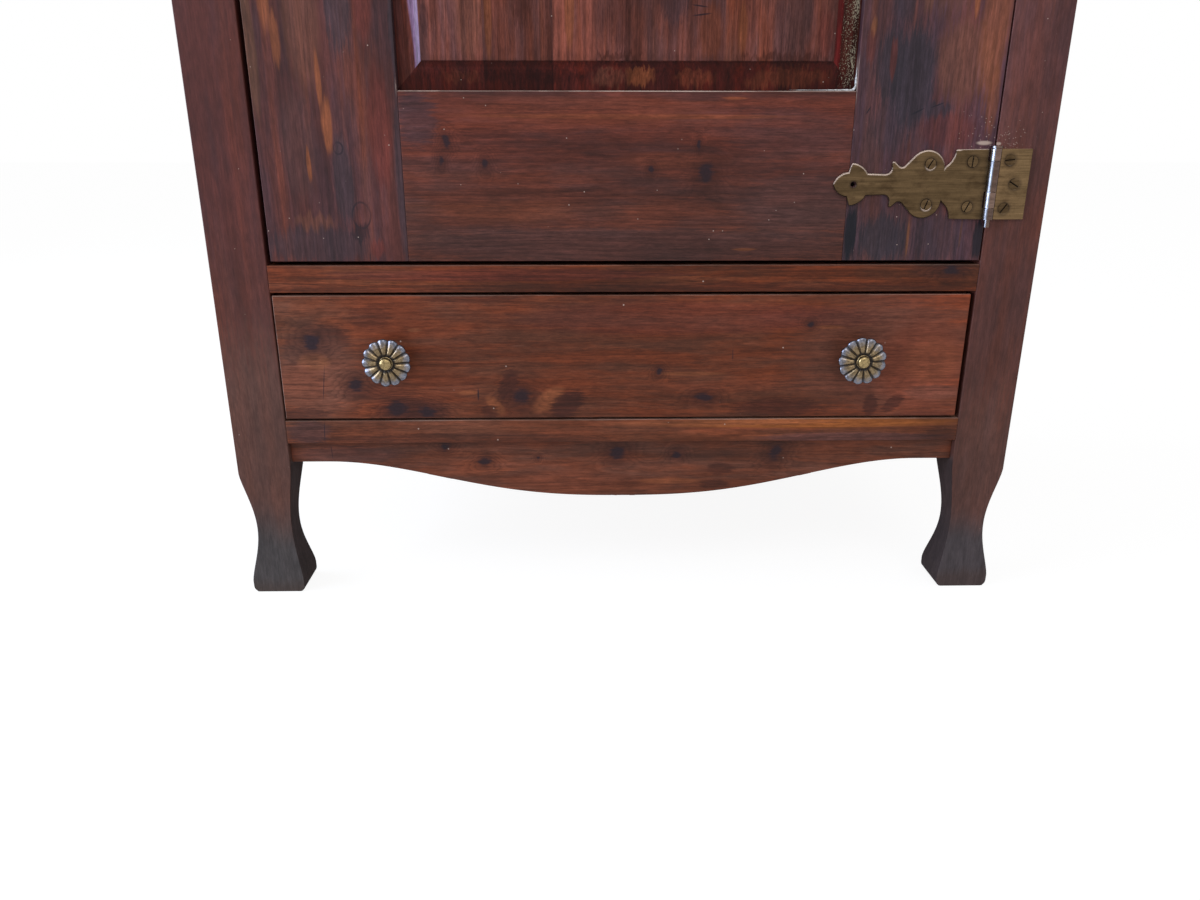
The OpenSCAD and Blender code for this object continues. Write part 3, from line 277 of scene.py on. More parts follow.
class Value:
    """A number, vector or colour in a shader, so that shader maths reads as an expression."""

    def __init__(self, maker, socket, kind=None):
        self.maker, self.socket = maker, socket
        self.kind = kind or {"VECTOR": "vector", "RGBA": "colour"}.get(socket.type, "number")

    def __add__(self, other):
        return self.maker.combine("ADD", self, other)

    def __radd__(self, other):
        return self.maker.combine("ADD", other, self)

    def __sub__(self, other):
        return self.maker.combine("SUBTRACT", self, other)

    def __rsub__(self, other):
        return self.maker.combine("SUBTRACT", other, self)

    def __mul__(self, other):
        return self.maker.combine("MULTIPLY", self, other)

    def __rmul__(self, other):
        return self.maker.combine("MULTIPLY", other, self)

    def __truediv__(self, other):
        return self.maker.combine("DIVIDE", self, other)

    def mix(self, a, b):
        """From colour a where the value is 0 to colour b where it is 1."""
        return self.maker.blend("MIX", self, a, b)

    def step(self, low, high, to_low=0.0, to_high=1.0):
        """Smooth step: to_low where the value is `low`, to_high where it is `high`."""
        return self.maker.node(
            "MapRange", {"interpolation_type": "SMOOTHSTEP"},
            {"Value": self, "From Min": low, "From Max": high, "To Min": to_low, "To Max": to_high},
        )

    def edge(self, low, high, to_low=0.0, to_high=1.0):
        """A smooth step between places in mm."""
        return self.step(low * MM, high * MM, to_low, to_high)

    def away(self):
        """Distance of a number from zero."""
        return self.maker.highest(self, self * -1.0)

    def above(self, limit):
        """1 where a number is above a limit, else 0."""
        return self.maker.reckon("GREATER_THAN", self, limit)

    def size(self):
        return self.maker.node("VectorMath", {"operation": "LENGTH"}, {0: self}, "Value")

    def spot(self, x, z, half_w, half_h, tilt=0.0):
        """Distance from a place on the front, 1 on the rim of an ellipse; all sizes in mm."""
        return self.maker.node("Mapping", {"vector_type": "TEXTURE"}, {
            "Vector": self, "Location": (x * MM, 0, z * MM),
            "Rotation": (0, math.radians(tilt), 0), "Scale": (half_w * MM, 1e4, half_h * MM),
        }).size()

    def part(self, axis):
        return self.maker.node("SeparateXYZ", {}, {0: self}, AXES[axis])

    def noise(self, detail=2.0, rough=0.5):
        sockets = {"Vector": self, "Scale": 1.0, "Detail": detail, "Roughness": rough}
        return self.maker.node("TexNoise", {"noise_dimensions": "3D"}, sockets)

    def swirl(self, detail=1.0):
        """Three noises about zero, as a vector."""
        sockets = {"Vector": self, "Scale": 1.0, "Detail": detail}
        return self.maker.node("TexNoise", {"noise_dimensions": "3D"}, sockets, 1, "vector") - 0.5

    def lot(self):
        """A random number that is the same for equal vectors."""
        return self.maker.node("TexWhiteNoise", {"noise_dimensions": "3D"}, {"Vector": self})

    def cells(self, out, kind_out=None):
        sockets = {"Vector": self, "Scale": 1.0}
        return self.maker.node("TexVoronoi", {"feature": "F1"}, sockets, out, kind_out)


class Maker:
    """Builds the nodes of one material, of the world or of a group of geometry nodes."""

    def __init__(self, owner):
        self.owner = self.tree = owner
        if not isinstance(owner, bpy.types.NodeTree):
            owner.use_nodes = True
            self.tree = owner.node_tree
        self.tree.nodes.clear()

    def node(self, kind, settings=None, sockets=None, out=0, kind_out=None):
        known = kind.startswith(("GeometryNode", "NodeGroup"))
        made = self.tree.nodes.new(kind if known else "ShaderNode" + kind)
        for key, value in (settings or {}).items():
            if key == "stops":
                elements = made.color_ramp.elements
                while len(elements) < len(value):
                    elements.new(1)
                for element, (position, colour) in zip(elements, value):
                    element.position, element.color = position, (*colour[:3], 1)
            else:
                setattr(made, key, value)
        for key, value in (sockets or {}).items():
            if isinstance(value, Value):
                self.tree.links.new(value.socket, made.inputs[key])
            elif made.inputs[key].type == "RGBA":
                made.inputs[key].default_value = (*value[:3], 1)
            else:
                made.inputs[key].default_value = value
        return Value(self, made.outputs[out], kind_out) if len(made.outputs) else made

    def reckon(self, operation, *values, kind="Math"):
        return self.node(kind, {"operation": operation}, dict(enumerate(values)))

    def combine(self, operation, a, b):
        kinds = {v.kind for v in (a, b) if isinstance(v, Value)}
        if "vector" in kinds and "colour" not in kinds:
            a, b = ((v, v, v) if isinstance(v, (int, float)) else v for v in (a, b))
            return self.reckon(operation, a, b, kind="VectorMath")
        if "colour" in kinds or not all(isinstance(v, (Value, int, float)) for v in (a, b)):
            return self.blend(operation, 1, a, b)
        return self.reckon(operation, a, b)

    def blend(self, operation, factor, a, b):
        a, b = ((v, v, v) if isinstance(v, (int, float)) else v for v in (a, b))
        settings = {"data_type": "RGBA", "blend_type": operation}
        return self.node("Mix", settings, {0: factor, 6: a, 7: b}, 2)

    def highest(self, *values):
        top = values[0]
        for value in values[1:]:
            top = self.reckon("MAXIMUM", top, value)
        return top

    def ramp(self, value, stops):
        return self.node("ValToRGB", {"stops": stops}, {"Fac": value})

    def place(self):
        return self.node("TexCoord", out="Object")

    def facing(self, axis):
        """How far the surface looks along an axis, from -1 to 1."""
        return self.node("TexCoord", out="Normal").part(axis)

    def finish(self, colour, roughness, height, bump, depth, metallic=0.0, **more):
        """Ends a material; `depth` is that of its bumps, in mm."""
        relief = self.node("Bump", {}, {"Strength": bump, "Distance": depth * MM, "Height": height})
        sockets = {"Base Color": colour, "Roughness": roughness, "Metallic": metallic, "Normal": relief}
        sockets.update({key.replace("_", " "): value for key, value in more.items()})
        self.node("OutputMaterial", {}, {"Surface": self.node("BsdfPrincipled", {}, sockets)})
        return self.owner


def masked(axis, on, off=0.0):
    """A vector with `on` along one axis and `off` along the others."""
    return tuple(on if AXES[axis] == i else off for i in range(3))


def stretched(grain, run, width):
    """Scale of a pattern whose marks are `run` long along the grain and `width` wide, in mm."""
    return masked(grain, 1 / (run * MM), 1 / (width * MM))


def wild_knots(place, side, grain, share):
    """Distance from knots strewn over a board, and the share of them that are there."""
    flat = masked(side, 0.0, 1.0)
    scale = stretched(grain, 300, 120)
    centres = (place * flat * scale).cells("Position", "vector")
    pick = centres.lot()
    gap = (place * flat - centres * tuple(1 / s for s in scale)) * flat
    radius = pick * (8 * MM) + 1.0 * MM
    return gap.size() / radius, pick.step(1 - share, 1.02 - share)


class Board:
    """One stained board: its figure, and the stains, knots, cracks and dirt that lie over it."""

    def __init__(self, node, grain, tone, seed, contrast=1.0, knotty=0.0, glue=(), pith=(22, 60),
                 rings=1.0, late=0.14, lift=1.0, grainy=0.45, tides=1.0, feather=24, stripes=0.0,
                 gloss=0.2):
        self.node, self.grain, self.feather, self.gloss, self.sheen = node, grain, feather, gloss, 0.0
        self.look = look = bpy.context.scene.wood_finish
        self.maker = maker = Maker(bpy.data.materials.new(node + "_wood"))
        lift = lift if isinstance(lift, tuple) else (lift,) * 3
        self.tone = tuple(c * k for c, k in zip(getattr(look, tone), lift))
        self.low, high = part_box(node)
        side = min(AXES, key=lambda axis: high[AXES[axis]] - self.low[AXES[axis]])
        if side == grain:
            side = "Y" if grain != "Y" else "X"
        self.place = maker.place()
        self.moved = self.place + tuple(seed * k for k in FIGURE_STEP)
        if glue:
            # Number of the strip that a place is on, where strips meet along X
            across, strip = self.at("X"), 0.0
            for seam in glue:
                strip += across.edge(seam - 0.15, seam + 0.15)
            self.moved += maker.node("CombineXYZ", {}, {1: strip * 0.37, 2: strip * 1.9})
        self.bend = (self.moved * stretched(grain, 330, 70)).swirl()
        self.streak, self.cloud = self.figure(420, 15, 4, 0.6), self.figure(190, 75)
        self.fine, self.fibre = self.figure(80, 2.4, 4, 0.65), self.figure(8, 1.0, 3, 0.7)
        self.mottle = self.figure(17, 6, 4, 0.6)
        self.tide = ((self.moved + self.bend * (20 * MM)) * stretched(grain, 100, 16)).noise(4, 0.6)
        bent, self.knots = self.aside(7), []
        if node in KNOTS:
            ragged = bent + (self.moved * stretched(grain, 11, 7)).swirl(2) * (4 * MM)
            self.knots = [(ragged.spot(*knot), 1.0) for knot in KNOTS[node]]
        if knotty:
            strewn = bent + tuple(seed * k for k in KNOT_STEP)
            self.knots.append(wild_knots(strewn, side, grain, knotty))
        # Year rings about a pith line behind the board
        centre = [(a + b) / 2 for a, b in zip(self.low, high)]
        third = next(axis for axis in AXES if axis not in (side, grain))
        centre[AXES[third]] += pith[0] * MM
        centre[AXES[side]] += pith[1] * MM
        across = masked(grain, 0.0, 1.0)
        spokes = (bent + self.bend * masked(grain, 0.0, 15 * MM) - tuple(centre)) * across
        phase = spokes.size() / (look.ring * rings) + self.streak * 5.0
        for distance, weight in self.knots:
            phase = phase + distance.step(4.2, 0.4, 0.0, 3.4) * weight
        ring = maker.reckon("FRACT", phase)
        self.late = ring.step(0.35, 0.92) * ring.step(1.0, 0.95) * (self.cloud * late * 2)
        matt, shiny = look.roughness + 0.06, look.roughness - 0.05
        self.rough = self.streak.step(0.3, 0.7, matt, shiny) + self.fibre * 0.06
        self.ground(contrast, grainy, tides, stripes)
        if glue:
            lot = maker.node("CombineXYZ", {}, {0: strip + 3.5}).lot()
            self.colour *= lot * 0.22 + 0.89
        for mark in MARKS.get(node, ()):
            self.mark(*mark)
        self.knot_hearts()
        for crack in CRACKS.get(node, ()):
            self.crack(*crack)

    def at(self, axis):
        return self.place.part(axis)

    def figure(self, run, width, detail=2.0, rough=0.5):
        """Noise in marks of this length and width, in mm."""
        return (self.moved * stretched(self.grain, run, width)).noise(detail, rough)

    def aside(self, far):
        """The place, moved across the grain by the bends of the wood, up to about `far` in mm."""
        return self.place + self.bend * masked(self.grain, 0.0, far * MM)

    @cached_property
    def torn(self):
        """The place, drawn out along the fibres."""
        fibres = (self.moved * stretched(self.grain, 60, 2.6)).swirl(2)
        return self.aside(4) + fibres * masked(self.grain, self.feather * MM)

    @cached_property
    def tooth(self):
        return ((self.fine + self.fibre) * 0.5 - 0.5) * 1.3

    def lay(self, cover, colour):
        """Lays a colour, or a colour of the finish by its name, where `cover` is 1."""
        if isinstance(colour, str):
            colour = getattr(self.look, colour)
        self.colour = cover.mix(self.colour, colour)

    def soak(self, cover, key):
        """Lays a colour of the finish that takes the light and dark of the wood."""
        self.lay(cover, self.shade * getattr(self.look, key))

    def ground(self, contrast, grainy, tides, stripes):
        """The stained wood itself: streaks, fibres, year rings and warm and cool tides."""
        maker, tone = self.maker, self.tone
        deep = tuple(c * (1 - 0.42 * contrast) for c in tone)
        bright = tuple(c + (o - c) * 0.6 * contrast for c, o in zip(tone, self.look.rust))
        if max(tone) > BARE:
            bright = tuple(c * 1.15 for c in tone)
        base = maker.ramp(self.streak, [(0.30, deep), (0.50, tone), (0.72, bright)])
        self.shade = (
            self.cloud.step(0.32, 0.70, 1 - 0.26 * contrast, 1 + 0.24 * contrast)
            * self.fine.step(0.28, 0.74, 1 - 0.46 * contrast * grainy, 1 + 0.40 * contrast * grainy)
            * self.fibre.step(0.28, 0.72, 1 - 0.42 * grainy, 1 + 0.38 * grainy)
            * self.mottle.step(0.28, 0.72, 0.84, 1.16)
            * (1 - self.late * contrast)
        )
        if stripes:
            bent = self.place + self.bend * (9 * MM)
            lines = (bent * stretched(self.grain, 240, 6.5)).noise(3, 0.6)
            self.shade *= lines.step(0.32, 0.68, 1 - stripes, 1 + stripes)
        swing = 0.14 * tides
        cool, warm = (1 - swing, 1.0, 1 + swing), (1 + swing, 1.0, 1 - swing)
        self.colour = base * self.shade * self.tide.step(0.36, 0.64).mix(cool, warm)

    def mark(self, key, x, z, half_w, half_h, strength=0.8, tilt=0.0):
        """A stain or streak of a named colour, drawn out by the grain."""
        far = self.torn.spot(x, z, half_w * 1.2, half_h * 1.15, tilt) + self.tooth
        self.soak(far.step(1.08, 0.62, 0.0, strength), key)

    def knot_hearts(self):
        halo, heart = self.look.dark, self.look.knot
        if max(self.tone) > BARE:
            halo, heart = tuple(c * 0.55 for c in self.tone), tuple(c * 0.22 for c in self.tone)
        for distance, weight in self.knots:
            glow = (distance + (self.tide - 0.5) * 2.4).step(3.4, 0.8, 0.0, 0.6) * weight
            ragged = (self.fine - 0.5) * 0.9 + (self.mottle - 0.5) * 1.5
            core = (distance + ragged).step(1.25, 0.5, 0.0, 0.9) * weight
            whorl = self.maker.reckon("SINE", distance * 15.0) * 0.12 + 0.95
            self.lay(glow, self.shade * halo)
            self.lay(core, whorl * heart)

    def sharp_spot(self, *sizes):
        """The distance that spot gives, hardly bent by the grain."""
        return (self.place + self.bend * (3 * MM)).spot(*sizes)

    def crack(self, x, z, half_w, half_h, tilt=0.0, key="black"):
        self.lay(self.sharp_spot(x, z, half_w, half_h, tilt).step(1.2, 0.5, 0.0, 0.85), key)

    def plug(self, x, z, half_w, half_h):
        """The dark outline of a filled knot, in mm."""
        rim = (self.sharp_spot(x, z, half_w, half_h) - 1).away() * min(half_w, half_h)
        line = rim.step(1.1, 0.3, 0.0, 0.7) * self.mottle.step(0.3, 0.6, 0.3, 1.0)
        self.lay(line, "black")

    def cove(self, x0, x1, z0, z1):
        """The border of a raised panel: smoother than its field, with painted shade that makes it darker and
        redder, darker still next to the frame and on the bottom cove, which faces down, a painted sky
        reflection on the left cove and a painted dark-red reflection on the right; sizes in mm.
        """
        maker = self.maker
        x, z = self.at("X"), self.at("Z")
        beside, under = maker.highest(x0 * MM - x, x - x1 * MM), z0 * MM - z
        out = maker.highest(beside, under, z - z1 * MM)
        front = maker.facing("Y").step(0.3, -0.3)
        border = out.edge(-0.4, 0.5) * front
        # Painted shade next to the frame, whose edge shades the cove
        frame_shade = (out + (self.cloud - 0.5) * 0.02).edge(-6, 0) * front
        low = (under - beside).edge(-0.3, 0.3) * border
        self.colour *= 1 - frame_shade * 0.15
        # Painted shade: the border darker and redder, and the bottom cove, which faces down, darker still
        self.lay(border * 0.75, self.colour * (0.64, 0.42, 0.40))
        self.lay(low, self.colour * (0.60, 0.36, 0.34))
        slope = maker.facing("X")
        left = slope.step(-0.26, -0.40) * border
        right = slope.step(0.20, 0.36) * border
        # The highlight of the left cove widens from its lower corner upwards
        wide = z.edge(z0, z0 + 75, 0.0, 5 * MM)
        inner = (x0 * MM - x).edge(0, 0.6)
        band = (x0 * MM - x - wide).edge(7.0, 4.5) * inner
        band = band * (border - low) * x.edge(0, -1)
        # Painted reflection of the sky in a band on the left cove
        self.soak(band * 0.8, "sky_reflection")
        # Painted dark-red reflection where the cove faces right
        self.soak(right * 0.95, "red_reflection")
        self.sheen = left * self.streak.step(0.3, 0.7, 0.06, 0.18)
        self.rough *= 1 - border * 0.35

    def crust(self, x0, x1, z0, z1):
        """Old wax and dirt in fine pale crumbs over a dark ground, fading out upwards; in mm."""
        x, z = self.at("X"), self.at("Z")
        zone = x.edge(x0, x0 + 6) * x.edge(x1 + 1, x1 - 1)
        zone = zone * z.edge(z0, z0 + 6) * z.edge(z1 + 30, z1)
        zone *= self.maker.facing("Y").step(0.1, -0.1)
        crumbs = (self.place * (1000.0, 1000.0, 700.0)).noise(2, 0.7)
        patches = (self.place * (150.0, 150.0, 60.0)).noise(2)
        self.colour *= 1 - zone * 0.35
        thick = x.edge(x0, x1 - 3, -0.06, 0.06)
        pale = (crumbs + (patches - 0.5) * 0.35 + thick).step(0.57, 0.68) * zone
        self.lay(pale * 0.85, "wax")
        self.rough = self.rough + zone * 0.3

    def dust(self, places=(), rate=0.0, grain_size=3.4):
        """Pale specks on the front: a few everywhere, more around each (x, z, half w, half h, rate)."""
        fine = self.place * (1 / (grain_size * MM))
        chance = rate
        for x, z, half_w, half_h, more in places:
            near = self.place.spot(x, z, half_w, half_h)
            chance = near.step(1.0, 0.1, 0.0, more) + chance
        chosen = (fine.cells("Position", "vector").lot() + chance).step(0.999, 1.001)
        front = self.maker.facing("Y").step(-0.6, -0.9)
        speck = fine.cells("Distance").step(0.30, 0.14) * chosen * front
        self.lay(speck * 0.85, "dust")
        self.rough = self.rough + speck * 0.3

    def pale_edge(self, axis, place, width, strength, start=None, end=None):
        """A rubbed, dusty line on the front, along the edge at `place` on an axis, in mm."""
        line = (self.at(axis) - place * MM).away() + (self.fine - 0.5) * (0.9 * MM)
        cover = line.edge(width, width * 0.4, 0.0, strength)
        cover *= (self.cloud + self.mottle * 0.5).step(0.62, 0.85, 0.35, 1.0)
        if start is not None:
            other = self.at("X" if axis == "Z" else "Z")
            cover *= other.edge(start - 12, start)
            cover *= other.edge(end + 12, end)
        on_front = self.at("Y").step(self.low[1] + 11 * MM, self.low[1] + 7 * MM)
        self.lay(cover * on_front, "dust")

    def lean(self, axis, a, b, first, second):
        """Changes the colour along the board, by the factors `first` at a to `second` at b, in mm."""
        share = self.at(axis).edge(a, b)
        self.colour *= share.mix(first, second)

    def soot(self, high, low):
        """Dirt that darkens the lower end of a post, in mm above the floor."""
        level = self.at("Z") + (self.cloud - 0.5) * (60 * MM) + (self.fine - 0.5) * (14 * MM)
        cover = level.edge(high, low, 0.0, 0.93)
        self.soak(cover, "soot")
        self.soak(level.edge(26, 8, 0.0, 0.7), "sole")
        self.rough = self.rough + cover * 0.18

    def inner_shade(self, towards, top):
        """Painted shade on the faces of a post that look along X towards the middle, below `top` in mm."""
        inward = (self.maker.facing("X") * towards).step(0.35, 0.8)
        cover = inward * self.at("Z").edge(top + 6, top - 6)
        self.soak(cover * 0.9, "inner_shade")
        self.rough = self.rough + cover * 0.5

    def dress(self, rounding=None):
        """Gives the board its finish and rounds its edges, in mm or by the wood's own rounding."""
        relief = self.fibre * 0.35 + self.fine * 0.35 - self.late
        material = self.maker.finish(
            self.colour, self.rough, relief, 0.22, 0.35,
            Specular_IOR_Level=self.gloss, Coat_Weight=self.sheen, Coat_Roughness=0.25,
        )
        dress(self.node, material, self.look.arris if rounding is None else rounding * MM)


def long_edges():
    """Geometry nodes that pick the sharp outer edges for rounding and leave the rims of small holes."""
    group = bpy.data.node_groups.get("long_edges")
    if group:
        return group
    group = bpy.data.node_groups.new("long_edges", "GeometryNodeTree")
    for way in ("INPUT", "OUTPUT"):
        group.interface.new_socket("Geometry", in_out=way, socket_type="NodeSocketGeometry")
    for key, value in (("Middle", 0.0), ("Clear", -1.0)):
        socket = group.interface.new_socket(key, in_out="INPUT", socket_type="NodeSocketFloat")
        socket.default_value = value
    maker = Maker(group)
    shape, middle, clear = (
        maker.node("NodeGroupInput", out=key) for key in ("Geometry", "Middle", "Clear")
    )
    start, end = (
        maker.node("GeometryNodeInputMeshEdgeVertices", out=f"Position {i}", kind_out="vector")
        for i in (1, 2)
    )
    bend, either = (
        maker.node("GeometryNodeInputMeshEdgeAngle", out=kind + " Angle") for kind in ("Signed", "Unsigned")
    )
    long = (start - end).size().above(0.6 * MM)
    beside = (start.part("X") - middle).away().above(clear)
    rounded = bend.above(SHARP) * long * beside
    crease = (either.above(SHARP) - rounded).above(0.5)
    for kind, name, value in (("FLOAT", "bevel_weight_edge", rounded), ("BOOLEAN", "sharp_edge", crease)):
        shape = maker.node(
            "GeometryNodeStoreNamedAttribute", {"data_type": kind, "domain": "EDGE"},
            {"Geometry": shape, "Name": name, "Value": value}, kind_out="geometry",
        )
    maker.node("NodeGroupOutput", {}, {"Geometry": shape})
    return group


def dress(node, material, rounding, middle=0.0, clear=-1.0):
    """Gives a CAD node its material and rounds its edges, but not within `clear` of X = `middle`."""
    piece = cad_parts[node]
    piece.data.materials.clear()
    piece.data.materials.append(material)
    weld = piece.modifiers.new("weld", "WELD")
    weld.merge_threshold = 1e-6
    flat = piece.modifiers.new("flat faces", "DECIMATE")
    flat.decimate_type, flat.angle_limit = "DISSOLVE", math.radians(0.4)
    picked = piece.modifiers.new("edges", "NODES")
    picked.node_group = long_edges()
    for key, value in (("Middle", middle), ("Clear", clear)):
        picked[picked.node_group.interface.items_tree[key].identifier] = value
    bevel = piece.modifiers.new("rounding", "BEVEL")
    bevel.width, bevel.segments, bevel.limit_method = rounding, 3, "WEIGHT"
    bevel.use_clamp_overlap = False
    smooth = piece.modifiers.new("shading", "WEIGHTED_NORMAL")
    smooth.weight, smooth.keep_sharp = 90, True


def piece_from(name, verts, faces, body, material):
    mesh = bpy.data.meshes.new(name)
    mesh.from_pydata([tuple(v) for v in verts], [], faces)
    mesh.validate()
    mesh.materials.append(material)
    mesh.shade_smooth()
    piece = bpy.data.objects.new(name, mesh)
    bpy.context.collection.objects.link(piece)
    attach(piece, body)
    return piece


class WARDROBE_OT_posts(bpy.types.Operator):
    """Stain the four corner posts, darker at their feet"""

    bl_idname = "wardrobe.posts"
    bl_label = "Corner posts"

    def execute(self, context):
        posts = [f"post_{depth}_{side}" for depth in ("front", "back") for side in ("left", "right")]
        for number, node in enumerate(posts):
            left = "left" in node
            first = node == "post_front_left"
            post = Board(
                node, "Z", "post", 11 + 3 * number, contrast=0.62, pith=(70, 60), rings=0.8, late=0.1,
                lift=(0.88, 0.78, 0.72) if first else (1.03, 1.0, 0.92), grainy=0.4, tides=0.6,
            )
            post.mark("grey", *((-372, 130, 60, 150, 0.5) if left else (372, 60, 60, 160, 0.4)))
            post.soot(112 if first else 96, 52)
            if first:
                post.lean("Z", 240, 440, (1.01, 0.98, 0.88), (0.88, 0.79, 0.86))
                post.lean("Z", 50, 110, (0.90, 0.97, 0.96), SAME)
            elif node == "post_front_right":
                post.lean("Z", 240, 330, (0.96, 0.95, 0.90), SAME)
                post.lean("Z", 420, 530, SAME, (1.15, 1.19, 1.38))
                post.lean("Z", 50, 110, (1.20, 1.21, 1.24), SAME)
            post.inner_shade(1.0 if left else -1.0, 150)
            spots = []
            if node == "post_front_right":
                spots = [(354, 470, 32, 22, 0.05), (372, 520, 26, 80, 0.012), (372, 380, 24, 90, 0.004)]
                post.crack(346.5, 463.2, 2.5, 1.6, 0, "dust")
                post.dust([(352, 468, 34, 18, 0.35), (360, 461, 22, 3.5, 0.95)], 0.0, 1.5)
            post.dust(spots, 0.001, 2.0)
            post.dress(1.0)
        return {"FINISHED"}


class WARDROBE_OT_front_rails(bpy.types.Operator):
    """Stain the rails around the drawer, the top rail and the apron"""

    bl_idname = "wardrobe.front_rails"
    bl_label = "Front rails and apron"

    def execute(self, context):
        middle = Board("front_rail_middle", "X", "drawer", 21, contrast=1.1, lift=(0.97, 0.91, 0.83),
                       late=0.22, feather=12, grainy=0.65, stripes=0.14)
        middle.pale_edge("Z", 351, 0.6, 0.15)
        middle.dust(rate=0.002)
        bottom = Board("front_rail_bottom", "X", "drawer", 27, pith=(30, 34), lift=(1.15, 1.25, 1.32),
                       late=0.22, feather=10, grainy=0.65, tides=0.7)
        bottom.lean("X", -250, 150, (1.09, 1.17, 1.28), (0.99, 1.0, 1.02))
        bottom.pale_edge("Z", 194.5, 0.6, 0.35)
        bottom.dust([(78, 190, 60, 4, 0.05)], 0.003)
        apron = Board("apron", "X", "drawer", 33, contrast=0.95, lift=(1.12, 1.40, 1.90), late=0.22,
                      feather=6, grainy=0.55)
        apron.dust(rate=0.002)
        top = Board("front_rail_top", "X", "post", 41, knotty=0.25)
        for board in (middle, bottom, apron, top):
            board.dress()
        return {"FINISHED"}


class WARDROBE_OT_door_frame(bpy.types.Operator):
    """Stain the stiles and the rails of the door"""

    bl_idname = "wardrobe.door_frame"
    bl_label = "Door frame"

    def execute(self, context):
        latch = Board("door_stile_latch", "Z", "door", 5, contrast=1.1, knotty=0.12, lift=0.87)
        latch.pale_edge("X", -209.5, 0.8, 0.6, 513, 509)
        latch.plug(-266, 458.5, 4.2, 5.2)
        latch.plug(-250, 398, 8.5, 12)
        latch.dust([(-265, 420, 60, 90, 0.004)], 0.002, 2.4)
        hinge = Board("door_stile_hinge", "Z", "door", 9, knotty=0.12, grainy=0.55, stripes=0.08,
                      lift=(0.96, 1.05, 1.15))
        hinge.lean("X", 230, 320, (1.01, 1.17, 1.29), (0.90, 0.93, 1.05))
        hinge.lean("Z", 360, 440, (0.90, 1.0, 0.98), SAME)
        hinge.crack(333, 463.4, 7.5, 2.1, 0, "dust")
        hinge.dust([(332, 470, 34, 24, 0.22), (336, 463, 14, 5, 0.8), (318, 486, 16, 12, 0.12)], 0.0, 1.5)
        hinge.dust([(330, 474, 30, 22, 0.08), (225, 455, 40, 50, 0.012), (300, 400, 60, 60, 0.006)],
                   0.0015, 2.2)
        hinge.pale_edge("X", 209.5, 0.8, 0.6, 505, 530)
        low = Board("door_rail_bottom", "X", "rail", 14, contrast=0.9, pith=(40, 70), late=0.22,
                    grainy=0.65, stripes=0.06)
        low.lean("Z", 395, 480, (0.87, 0.90, 0.88), (1.16, 1.02, 1.05))
        low.dust([(160, 415, 60, 30, 0.012), (-70, 405, 50, 30, 0.008)], 0.003, 2.4)
        low.pale_edge("Z", 508, 1.0, 1.0)
        middle = Board("door_rail_middle", "X", "rail", 52, contrast=0.85, knotty=0.3)
        top = Board("door_rail_top", "X", "rail", 57, contrast=0.85, knotty=0.3)
        for rail in (middle, top):
            rail.dust(rate=0.003)
        for board in (latch, hinge, low, middle, top):
            board.dress()
        return {"FINISHED"}


class WARDROBE_OT_door_panels(bpy.types.Operator):
    """Stain the two raised panels, glued up from narrow boards"""

    bl_idname = "wardrobe.door_panels"
    bl_label = "Door panels"

    def execute(self, context):
        low = Board("door_panel_lower", "Z", "panel", 17, contrast=1.1, glue=(-130, -67, -2, 87, 139),
                    grainy=0.6, lift=(1.15, 1.31, 1.46), stripes=0.22, gloss=0.1)
        low.cove(-186, 187, 533, 895)
        # The stains on the cove, over its paint
        for mark in (("orange", 12, 521, 12, 8, 0.55), ("tan", -17, 519, 15, 8, 0.35),
                     ("rust", 150, 520, 34, 8, 0.4), ("rust", 62, 519, 18, 7, 0.35),
                     ("rust", 118, 514, 10, 5, 0.4), ("rust", -150, 520, 18, 5, 0.25)):
            low.mark(*mark)
        low.crust(189, 208, 509, 640)
        low.dust([(185, 540, 20, 30, 0.1)], 0.002, 2.2)
        high = Board("door_panel_upper", "Z", "panel", 23, contrast=0.95, glue=(-118, -40, 22, 96, 150),
                     knotty=0.15)
        # The tongue in the groove and the cove's width, in mm
        tongue, width = 9, 25
        bottom, top = (corner[2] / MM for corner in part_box("door_panel_upper"))
        high.cove(-186, 187, bottom + tongue + width, top - tongue - width)
        high.dust(rate=0.003)
        for panel in (low, high):
            panel.dress()
        return {"FINISHED"}


class WARDROBE_OT_drawer(bpy.types.Operator):
    """Stain the drawer front and leave its dovetailed box bare"""

    bl_idname = "wardrobe.drawer"
    bl_label = "Drawer"

    def execute(self, context):
        front = Board("drawer_front", "X", "drawer", 3, contrast=0.75, pith=(10, 80),
                      lift=(1.08, 1.12, 1.22), late=0.28, grainy=0.66, tides=1.1, feather=5)
        front.lean("X", -320, -240, (1.02, 1.17, 1.30), SAME)
        front.lean("X", 215, 290, SAME, (1.30, 1.24, 1.32))
        front.pale_edge("X", -343.3, 0.6, 0.28)
        front.pale_edge("Z", 322, 0.6, 0.25)
        front.dust(rate=0.003)
        front.dress()
        box = {"side_left": "Y", "side_right": "Y", "back": "X", "bottom": "X"}
        for number, (part, grain) in enumerate(box.items()):
            Board("drawer_" + part, grain, "inside", 61 + 4 * number, contrast=0.5, knotty=0.2).dress(0.5)
        return {"FINISHED"}


class WARDROBE_OT_sides(bpy.types.Operator):
    """Stain the rails and the panels of both sides"""

    bl_idname = "wardrobe.sides"
    bl_label = "Sides"

    def execute(self, context):
        for turn, side in enumerate(("left", "right")):
            for level, place in enumerate(("bottom", "middle", "top")):
                Board(f"side_rail_{place}_{side}", "Y", "post", 71 + 5 * level + 17 * turn,
                      contrast=0.8, knotty=0.25).dress()
            for level, place in enumerate(("lower", "upper")):
                Board(f"side_panel_{place}_{side}", "Z", "panel", 79 + 7 * level + 13 * turn,
                      contrast=0.95, knotty=0.3).dress()
        return {"FINISHED"}


